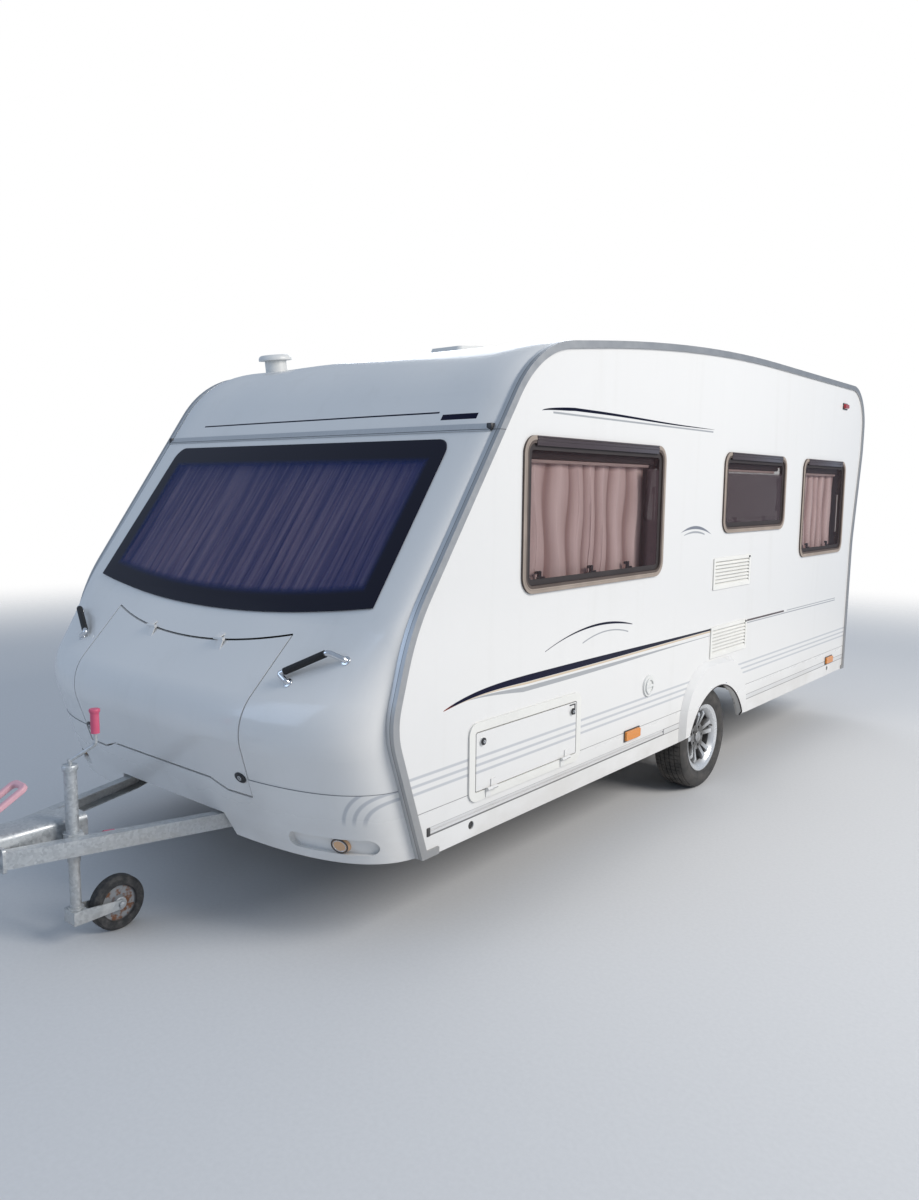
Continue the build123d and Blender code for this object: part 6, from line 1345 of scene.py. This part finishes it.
class CARAVAN_OT_window_fittings(bpy.types.Operator):
    """Adds the rims, beads, hinge rails, blinds, catches and stays of the side windows"""

    bl_idname = "caravan.window_fittings"
    bl_label = "Window fittings"

    def execute(self, context):
        groups = {name: [] for name, *_ in WINDOW_FITTINGS}
        for low, high in solids_of("window_panes"):
            if high.x - low.x < 1.0:
                self.dress_outside(low, high, context.scene.caravan_sizes.bead_radius, groups)
                self.dress_inside(low, high, groups)
        for name, finish, slot in WINDOW_FITTINGS:
            placed(joined(f"window_{name}", groups[name]), "caravan", finish)
        return {"FINISHED"}

    def dress_outside(self, low, high, bead, groups):
        """The rim, beads and hinge rail round the pane between two corners."""
        side = side_of(low)
        face = high.x if side > 0 else low.x

        def loop(out, grow):
            first = Vector((face + side * out, low.y - grow, low.z - grow))
            last = Vector((face + side * out, high.y + grow, high.z + grow))
            return rounded_loop(first, last, PANE_CORNER + grow)

        groups["rims"].append(ring_band("rim", loop(0.0008, -0.001), loop(0.0008, -0.027), 0.0007))
        flange = ring_band("flange", loop(0.0096, 0.0325), loop(0.0096, 0.0190), 0.0016)
        groups["beads"] += [flange, rod("bead", loop(0.0080, 0.0165), bead, 3, closed=True)]
        for out, start, end in HINGE_RAIL:
            first = (face + side * 0.003, low.y + 0.052, high.z + start + 0.001)
            last = (face + side * (out + 0.004), high.y - 0.052, high.z + end)
            groups["hinge_rails"].append(block("rail", first, last, 0.0022))

    def dress_inside(self, low, high, groups):
        """The blind's case and bar, the catches and the stays behind a pane."""
        side = side_of(low)
        inner = low.x if side > 0 else high.x
        front, rear, sill, head = low.y, high.y, low.z, high.z

        def inside(near, far, span, heights, round_by, segments=2):
            """A block between two depths behind the pane."""
            first = (inner - side * near, span[0], heights[0])
            last = (inner - side * far, span[1], heights[1])
            return block("inside", first, last, round_by, segments)

        span = (front + 0.024, rear - 0.024)
        case = inside(0.012, 0.050, span, (head - 0.062, head - 0.004), 0.006, 3)
        groups["blind_cases"].append(case)
        span = (front + 0.050, rear - 0.075)
        bar = inside(0.016, 0.034, span, (head - 0.078, head - 0.063), 0.004, 3)
        groups["blind_bars"].append(bar)
        for share in (0.12, 0.48, 0.77) if rear - front > 1.0 else (0.25, 0.75):
            middle = front + (rear - front) * share
            for near, far, span, heights, round_by in CATCH:
                span = [middle + shift for shift in span]
                heights = [sill + height for height in heights]
                groups["catches"].append(inside(near, far, span, heights, round_by))
        top = sill + (head - sill) * 0.68
        for edge, turn in ((front + 0.026, 1), (rear - 0.026, -1)):
            x = inner - side * 0.009
            stay = rod("stay", [(x, edge, sill + 0.12), (x, edge, top)], 0.0042)
            groups["stays"].append(stay)
            for height in (sill + 0.10, top):
                first = (x - side * 0.008, edge - 0.011, height - 0.018)
                last = (x + side * 0.008, edge + 0.011 + 0.010 * turn, height + 0.018)
                groups["catches"].append(block("stay_end", first, last, 0.004))


class CARAVAN_OT_locks(bpy.types.Operator):
    """Adds the turn locks of the lid, the lockers, the door and the vents"""

    bl_idname = "caravan.locks"
    bl_label = "Locks"

    def execute(self, context):
        rows = []
        for name, x in (("right", -0.562), ("left", 0.562)):
            place, normal = on_front("gas_locker_lid", x, 0.640)
            rows.append((f"lid_lock_{name}", "gas_lid", place, normal, 0.0165, 1.45))
        for name, node, body in (("side_locker", "side_locker_door", "side_locker"),
                                 ("cassette", "cassette_door", "cassette")):
            low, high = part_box(node)
            wide = high.y - low.y > 0.5
            ends = (low.y + 0.037, high.y - 0.037) if wide else ((low.y + high.y) / 2,)
            for index, y in enumerate(ends):
                place, normal = on_side(node, y, high.z - 0.037, side_of(low))
                rows.append((f"{name}_lock_{index}", body, place, normal, 0.0115, 1.0))
        place, _ = on_side("entrance_door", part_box("entrance_door")[1].y - 0.057, 1.315, -1)
        rows.append(("door_lock", "door", place, (-1, 0, 0), 0.0125, 1.0))
        for index, (_, high) in enumerate(solids_of("fridge_vents")):
            place = Vector((high.x, high.y - 0.022, high.z - 0.011))
            rows.append((f"vent_lock_{index}", "caravan", place, (1, 0, 0), 0.0052, 1.0))
        for name, body, place, normal, radius, stretch in rows:
            case, barrel = lock(name, place, normal, radius, stretch)
            placed(case, body, "Black plastic")
            placed(barrel, body, "Chrome")
        self.bracket()
        return {"FINISHED"}

    def bracket(self):
        """The small angle that holds the side locker's door by its upper rear corner."""
        low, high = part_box("side_locker_door")
        face = on_side("side_locker_door", low.y + 0.3, 0.66)[0].x
        corner = (face + 0.003, high.y - 0.010, high.z - 0.005)
        arms = [
            block("angle", (face, high.y - back, high.z - drop), corner, 0.001)
            for back, drop in ((0.056, 0.010), (0.015, 0.056))
        ]
        placed(joined("side_locker_angle", arms), "side_locker", "Black plastic")


# Where the sleeve of the left front handle ends, and where its two feet stand, as (x, z)
FRONT_SLEEVE = ((0.728, -2.1215, 1.060), (0.888, -2.061, 1.139))
FRONT_FEET = ((0.7559, 1.0231), (0.9567, 1.1171))
REAR_BAR_HEIGHT = 1.078
TUBE_RADIUS = 0.0110
# The sleeve's ribs: their number, and the section of one as (share of its length, radius)
RIBS = 30
RIB = ((0.0, 0.0142), (0.18, 0.0155), (0.78, 0.0155), (0.96, 0.0142))


class CARAVAN_OT_grab_handles(bpy.types.Operator):
    """Builds the grab handles: a bright tube with a ribbed sleeve and a rose at each foot"""

    bl_idname = "caravan.grab_handles"
    bl_label = "Grab handles"

    def execute(self, context):
        tubes, sleeves = [], []
        for low, high in solids_of("grab_handles"):
            side = side_of(low)
            if low.y < 0:
                bar = [Vector((side * x, y, z)) for x, y, z in FRONT_SLEEVE]
                feet = [on_front("front_panel", side * x, z) for x, z in FRONT_FEET]
            else:
                inner, outer = (low.x, high.x) if side > 0 else (high.x, low.x)
                bar = [
                    Vector((x, high.y - 0.014, REAR_BAR_HEIGHT))
                    for x in (inner + side * 0.034, outer - side * 0.034)
                ]
                feet = [
                    surface("rear_panel", (x, 4.0, REAR_BAR_HEIGHT), (0, -1, 0))
                    for x in (inner + side * 0.016, outer - side * 0.016)
                ]
            run = (bar[1] - bar[0]).normalized()
            tubes.append(self.tube(bar, feet, run))
            for place, normal in feet:
                root = place - normal * 0.001
                tubes.append(disc("rose", root, normal, 0.0185, 0.005, 32, 0.0015))
            sleeves.append(self.sleeve(bar, run))
        tube = joined("grab_handle_tubes", tubes)
        placed(tube, "caravan", "Chrome", smooth=50)
        sleeve = joined("grab_handle_sleeves", sleeves)
        placed(sleeve, "caravan", "Sleeve rubber")
        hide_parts("grab_handles")
        return {"FINISHED"}

    def tube(self, bar, feet, run):
        """The bent tube: from one foot up to the bar, along it and down to the other foot."""
        path = []
        for end, (place, normal), way in ((bar[0], feet[0], -1), (bar[1], feet[1], 1)):
            bend = end + run * way * 0.018
            middle = place.lerp(bend, 0.5) + normal * 0.004
            leg = [bend, middle, place + normal * 0.010, place - normal * 0.006]
            path = [*reversed(leg), end] if way < 0 else [*path, end, *leg]
        return rod("tube", path, TUBE_RADIUS, 5, spline="NURBS")

    def sleeve(self, bar, run):
        """The ribbed rubber between the ends of the bar."""
        length = (bar[1] - bar[0]).length
        step = length / RIBS
        profile = [(-length / 2, TUBE_RADIUS)]
        for rib in range(RIBS):
            start = -length / 2 + rib * step
            profile += [(start + step * share, radius) for share, radius in RIB]
        profile.append((length / 2, TUBE_RADIUS))
        return turned("sleeve", profile, (bar[0] + bar[1]) / 2, run, steps=28)


class CARAVAN_OT_lamps(bpy.types.Operator):
    """Adds the gaskets and bezels of the front lamps and the black feet of the side markers"""

    bl_idname = "caravan.lamps"
    bl_label = "Lamp bezels"

    def execute(self, context):
        gaskets, bezels = [], []
        # Columns: the list a ring goes into, how far it lies in from the lamp's edge, thickness
        rings = ((gaskets, 0.0022, 0.0030), (bezels, 0.0078, 0.0018))
        for low, high in solids_of("front_lamps"):
            middle, half = (low + high) / 2, (high.x - low.x) / 2
            for group, inset, thickness in rings:
                loop = []
                for step in range(RING_STEPS):
                    across, up = polar(half - inset, 360 * step / RING_STEPS)
                    place, _ = on_front("front_lamps", middle.x + across, middle.z + up)
                    loop.append(place + Vector((0, 0.0006, 0)))
                group.append(rod("ring", loop, thickness, 4, closed=True))
        placed(joined("front_lamp_bezels", bezels), "caravan", "Chrome")
        placed(joined("front_lamp_gaskets", gaskets), "caravan", "Black plastic")
        feet = []
        for low, high in solids_of("side_markers"):
            side = side_of(low)
            face = WALL_X * side + side * 0.0004
            start = (face, low.y - 0.004, low.z - 0.004)
            end = (face + side * 0.004, high.y + 0.004, high.z + 0.004)
            feet.append(block("marker_foot", start, end, 0.0015))
        placed(joined("side_marker_feet", feet), "caravan", "Black plastic")
        return {"FINISHED"}


class CARAVAN_OT_side_trim(bpy.types.Operator):
    """Adds the arch edging, the spat screws, the black end caps and the steady holes' plugs"""

    bl_idname = "caravan.side_trim"
    bl_label = "Side trim"

    def execute(self, context):
        low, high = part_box("wheel_spats")
        arch_y = (low.y + high.y) / 2
        edging, screws, caps = [], [], []

        def on_arch(radius, degrees):
            back, up = polar(radius, degrees)
            return arch_y + back, ARCH_HEIGHT + up

        for side in (1, -1):
            arc = []
            for step in range(ARCH_STEPS + 1):
                degrees = 22 + 136 * step / ARCH_STEPS
                place, _ = on_side("wheel_spats", *on_arch(ARCH_RADIUS + 0.004, degrees), side)
                arc.append((place.x - side * 0.002, *on_arch(ARCH_RADIUS, degrees)))
            edging.append(rod("edging", arc, 0.0042, 3))
            for degrees in SPAT_SCREWS:
                spot = on_arch(ARCH_RADIUS + 0.0135, degrees)
                place, normal = on_side("wheel_spats", *spot, side)
                screws.append(dome("screw", place - normal * 0.0004, normal, 0.0052, 0.0024))
            caps += [self.groove_cap(side), self.seam_cap(side)]
            for station in STEADY_HOLES:
                hole = (side * (WALL_X - 0.0105), AXLE_Y + station, STEADY_HOLE_HEIGHT)
                caps.append(disc("steady_plug", hole, (side, 0, 0), 0.0166, 0.006, 32, 0.0015))
        placed(joined("arch_edging", edging), "caravan", "Dark seal")
        placed(joined("spat_screws", screws), "caravan", "Chrome")
        placed(joined("black_end_caps", caps), "caravan", "Black plastic")
        return {"FINISHED"}

    def groove_cap(self, side):
        """The cap over the front end of the awning groove."""
        start = AXLE_Y + GROOVE_START
        low = (side * (WALL_X - 0.003), start - 0.007, GROOVE_LOW - 0.002)
        high = (side * (WALL_X + 0.0045), start + 0.011, GROOVE_HIGH + 0.002)
        return block("groove_cap", low, high, 0.003)

    def seam_cap(self, side):
        """The cap over one end of the seam strip above the front window."""
        low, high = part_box("front_seam_strip")
        end = side * (high.x - 0.012)
        place, _ = on_front("front_seam_strip", end, (low.z + high.z) / 2)
        start = (place.x - side * 0.014, place.y - 0.006, low.z - 0.001)
        stop = (place.x + side * 0.012, place.y + 0.030, high.z + 0.001)
        return block("seam_cap", start, stop, 0.003)


class CARAVAN_OT_nose_fittings(bpy.types.Operator):
    """Adds the bolts from drawbar to coupling, and the nuts, hubs, collar and cap of the jockey"""

    bl_idname = "caravan.nose_fittings"
    bl_label = "Nose fittings"

    def execute(self, context):
        self.bolts()
        self.jockey_wheel()
        self.jockey_tube()
        self.head_bolts()
        return {"FINISHED"}

    def bolts(self):
        """Those of the overrun housing's flange and of the jockey wheel's clamp."""
        flange_y = on_front("overrun_housing", 0.096, 0.403)[0].y
        flange = [(x, flange_y, z) for x in (-0.096, 0.096) for z in (0.376, 0.430)]
        bolts = hexagons("flange_bolts", flange, (0, -1, 0), 0.0095, 0.009)
        placed(bolts, "caravan", "Zinc fittings")
        clamp_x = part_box("jockey_tube")[0].x + 0.001
        clamp = [(clamp_x, AXLE_Y + JOCKEY_STATION + shift, 0.412) for shift in (-0.012, 0.012)]
        bolts = hexagons("clamp_bolts", clamp, (-1, 0, 0), 0.0070, 0.008)
        placed(bolts, "caravan", "Zinc fittings")

    def jockey_wheel(self):
        """The nuts outside its fork and the hub flanges between fork and wheel."""
        wheel = sum(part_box("jockey_wheel"), Vector()) / 2
        axle = Vector((0, wheel.y, wheel.z))
        fork_low, fork_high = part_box("jockey_fork")
        nuts = [
            disc("nut", axle + Vector((x, 0, 0)), (side, 0, 0), 0.013, 0.007, 6, 0.001)
            for x, side in ((fork_low.x + 0.004, -1), (fork_high.x - 0.004, 1))
        ]
        placed(joined("jockey_nuts", nuts), "jockey_swivel", "Zinc fittings")
        flange = ((0.0295, 0.0092), (0.0305, 0.012), (0.0305, 0.022), (0.0290, 0.0255))
        hubs = [turned("hub", flange, wheel, (side, 0, 0), 32) for side in (1, -1)]
        placed(joined("jockey_hubs", hubs), "jockey_roller", "Zinc fittings")

    def jockey_tube(self):
        """The collar round its head and the cap on its crank's grip."""
        collar = turned(
            "jockey_collar",
            [(-0.006, 0.0242), (-0.006, 0.0285), (0.000, 0.0292),
             (0.010, 0.0292), (0.013, 0.0275), (0.0145, 0.0262)],
            (0.125, AXLE_Y + JOCKEY_STATION, 0.690), (0, 0, 1), 40,
        )
        placed(collar, "caravan", "Zinc fittings")
        low, high = next(box for box in solids_of("handle_grips") if box[0].z > 0.75)
        cap = turned(
            "crank_cap",
            [(-0.012, 0.0158), (-0.008, 0.0172), (-0.002, 0.0200),
             (0.004, 0.0200), (0.007, 0.0180), (0.008, 0.0)],
            ((low.x + high.x) / 2, (low.y + high.y) / 2, high.z), (0, 0, 1), 32,
        )
        placed(cap, "caravan", "Grip plastic")

    def head_bolts(self):
        """Two bolts on each side of the coupling head."""
        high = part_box("coupling_head")[1]
        heads = [
            hexagons("side_bolts", [(side * (high.x - 0.002), high.y - back, 0.43)], (side, 0, 0),
                     0.0095, 0.010)
            for side in (1, -1)
            for back in (0.035, 0.095)
        ]
        placed(joined("head_bolts", heads), "caravan", "Zinc fittings")


class CARAVAN_OT_underside(bpy.types.Operator):
    """Adds the axle's saddle bolts"""

    bl_idname = "caravan.underside"
    bl_label = "Underside bolts"

    def execute(self, context):
        bolts = []
        for side in (1, -1):
            for shift in (-0.085, 0.085):
                place, _ = surface("axle", (side * 0.620, AXLE_Y - 0.150 + shift, 0.0), (0, 0, 1))
                bolts.append(hexagons("saddle_bolt", [place], (0, 0, -1), 0.0085, 0.008))
        placed(joined("saddle_bolts", bolts), "caravan", "Zinc fittings")
        return {"FINISHED"}


class CARAVAN_OT_roof_fittings(bpy.types.Operator):
    """Adds the ribs of the rooflights"""

    bl_idname = "caravan.roof_fittings"
    bl_label = "Roof fittings"

    def execute(self, context):
        ribs = []
        for low, high in solids_of("roof_fittings"):
            middle, size = (low + high) / 2, high.x - low.x
            if size < SMALLEST_ROOFLIGHT:
                continue
            for share in (-0.24, -0.08, 0.08, 0.24):
                ends = []
                for end in (-0.30, 0.30):
                    above = (middle.x + size * share, middle.y + size * end, 4.0)
                    place, _ = surface("roof_fittings", above, (0, 0, -1))
                    ends.append(place - Vector((0, 0, 0.001)))
                ribs.append(rod("rib", ends, 0.0035, 3))
        placed(joined("rooflight_ribs", ribs), "caravan", "Roof plastic")
        return {"FINISHED"}


# The soft lamps: name, place, what it points at, width, watts and colour
LAMPS = (
    ("Side lamp", (9.0, 1.5, 6.5), (0.0, 0.6, 1.0), 5.0, 900.0, (1.0, 0.965, 0.92)),
    ("Front lamp", (-3.5, -9.0, 5.0), (0.0, -1.5, 0.9), 5.0, 130.0, (0.58, 0.74, 1.0)),
    ("Rear lamp", (-6.0, 8.0, 7.0), (0.0, 1.5, 1.0), 6.0, 240.0, (0.95, 0.97, 1.0)),
)
SKY_COLOUR, SKY_STRENGTH = (0.62, 0.74, 0.92, 1.0), 0.52

# The photograph's camera: its place, its yaw, pitch and roll in degrees, its lens in mm
CAMERA_PLACE = (3.3305, -4.222, 1.744)
CAMERA_TURN = (39.871, 7.106, -0.529)
CAMERA_LENS, CAMERA_SENSOR = 27.08, 36.0


class CARAVAN_OT_stage(bpy.types.Operator):
    """Sets up the floor, the soft lamps, the world and the camera of the photograph"""

    bl_idname = "caravan.stage"
    bl_label = "Stage"

    def execute(self, context):
        deselect()
        bpy.ops.mesh.primitive_plane_add(size=60)
        floor = settled("floor")
        floor.data.materials.append(material("Floor"))
        for name, place, target, size, power, colour in LAMPS:
            light = bpy.data.lights.new(name, "AREA")
            light.shape, light.size, light.energy, light.color = "SQUARE", size, power, colour
            lamp = linked(name, light)
            turn = (Vector(place) - Vector(target)).to_track_quat("Z", "Y")
            lamp.matrix_world = Matrix.Translation(Vector(place)) @ turn.to_matrix().to_4x4()
        self.light_world(context)
        self.aim_camera(context)
        context.scene.view_settings.view_transform = "Standard"
        return {"FINISHED"}

    def light_world(self, context):
        """Soft sky light all round, and white where the camera looks past the floor."""
        world = context.scene.world or bpy.data.worlds.new("World")
        context.scene.world = world
        world.use_nodes = True
        tree = world.node_tree
        tree.nodes.clear()
        path = tree.nodes.new("ShaderNodeLightPath")
        seen = tree.nodes.new("ShaderNodeMath")
        seen.operation = "MAXIMUM"
        mix = tree.nodes.new("ShaderNodeMixShader")
        output = tree.nodes.new("ShaderNodeOutputWorld")
        for socket, ray in enumerate(("Is Camera Ray", "Is Transmission Ray")):
            tree.links.new(path.outputs[ray], seen.inputs[socket])
        tree.links.new(seen.outputs[0], mix.inputs[0])
        skies = ((SKY_COLOUR, SKY_STRENGTH), ((1.0, 1.0, 1.0, 1.0), 1.0))
        for socket, (colour, strength) in enumerate(skies, start=1):
            sky = tree.nodes.new("ShaderNodeBackground")
            sky.inputs["Color"].default_value = colour
            sky.inputs["Strength"].default_value = strength
            tree.links.new(sky.outputs[0], mix.inputs[socket])
        tree.links.new(mix.outputs[0], output.inputs["Surface"])

    def aim_camera(self, context):
        """Puts the camera where the photograph was taken from."""
        yaw, pitch, roll = (math.radians(angle) for angle in CAMERA_TURN)
        level = Vector((math.cos(yaw), math.sin(yaw), 0.0))
        ahead = Vector(
            (-math.sin(yaw) * math.cos(pitch), math.cos(yaw) * math.cos(pitch), -math.sin(pitch))
        )
        down = ahead.cross(level)
        right = math.cos(roll) * level + math.sin(roll) * down
        lower = math.cos(roll) * down - math.sin(roll) * level
        lens = bpy.data.cameras.new("Camera")
        lens.lens, lens.sensor_width = CAMERA_LENS, CAMERA_SENSOR
        lens.clip_end = 200.0
        camera = linked("Camera", lens)
        turn = Matrix((right, -lower, -ahead)).transposed().to_4x4()
        camera.matrix_world = Matrix.Translation(Vector(CAMERA_PLACE)) @ turn
        context.scene.camera = camera


OPERATORS = (
    CARAVAN_OT_finishes,
    CARAVAN_OT_tyres,
    CARAVAN_OT_wheel_fittings,
    CARAVAN_OT_curtains,
    CARAVAN_OT_window_fittings,
    CARAVAN_OT_locks,
    CARAVAN_OT_grab_handles,
    CARAVAN_OT_lamps,
    CARAVAN_OT_side_trim,
    CARAVAN_OT_nose_fittings,
    CARAVAN_OT_underside,
    CARAVAN_OT_roof_fittings,
    CARAVAN_OT_stage,
)


class VIEW3D_PT_caravan(bpy.types.Panel):
    """Lists the settings and one button for each group of pieces"""

    bl_label = "Travel caravan"
    bl_space_type = "VIEW_3D"
    bl_region_type = "UI"
    bl_category = "Caravan"

    def draw(self, context):
        scene = context.scene
        for settings in (scene.caravan_looks, scene.caravan_sizes):
            box = self.layout.box()
            for name in settings.__annotations__:
                box.prop(settings, name)
        for operator in OPERATORS:
            self.layout.operator(operator.bl_idname)


CLASSES = (CaravanLooks, CaravanSizes, *OPERATORS, VIEW3D_PT_caravan)


def register():
    for cls in CLASSES:
        bpy.utils.register_class(cls)
    bpy.types.Scene.caravan_looks = PointerProperty(type=CaravanLooks)
    bpy.types.Scene.caravan_sizes = PointerProperty(type=CaravanSizes)


def unregister():
    del bpy.types.Scene.caravan_sizes
    del bpy.types.Scene.caravan_looks
    for cls in reversed(CLASSES):
        bpy.utils.unregister_class(cls)


def main():
    register()
    for operator in OPERATORS:
        group, step = operator.bl_idname.split(".")
        getattr(getattr(bpy.ops, group), step)()


if __name__ == "__main__":
    main()
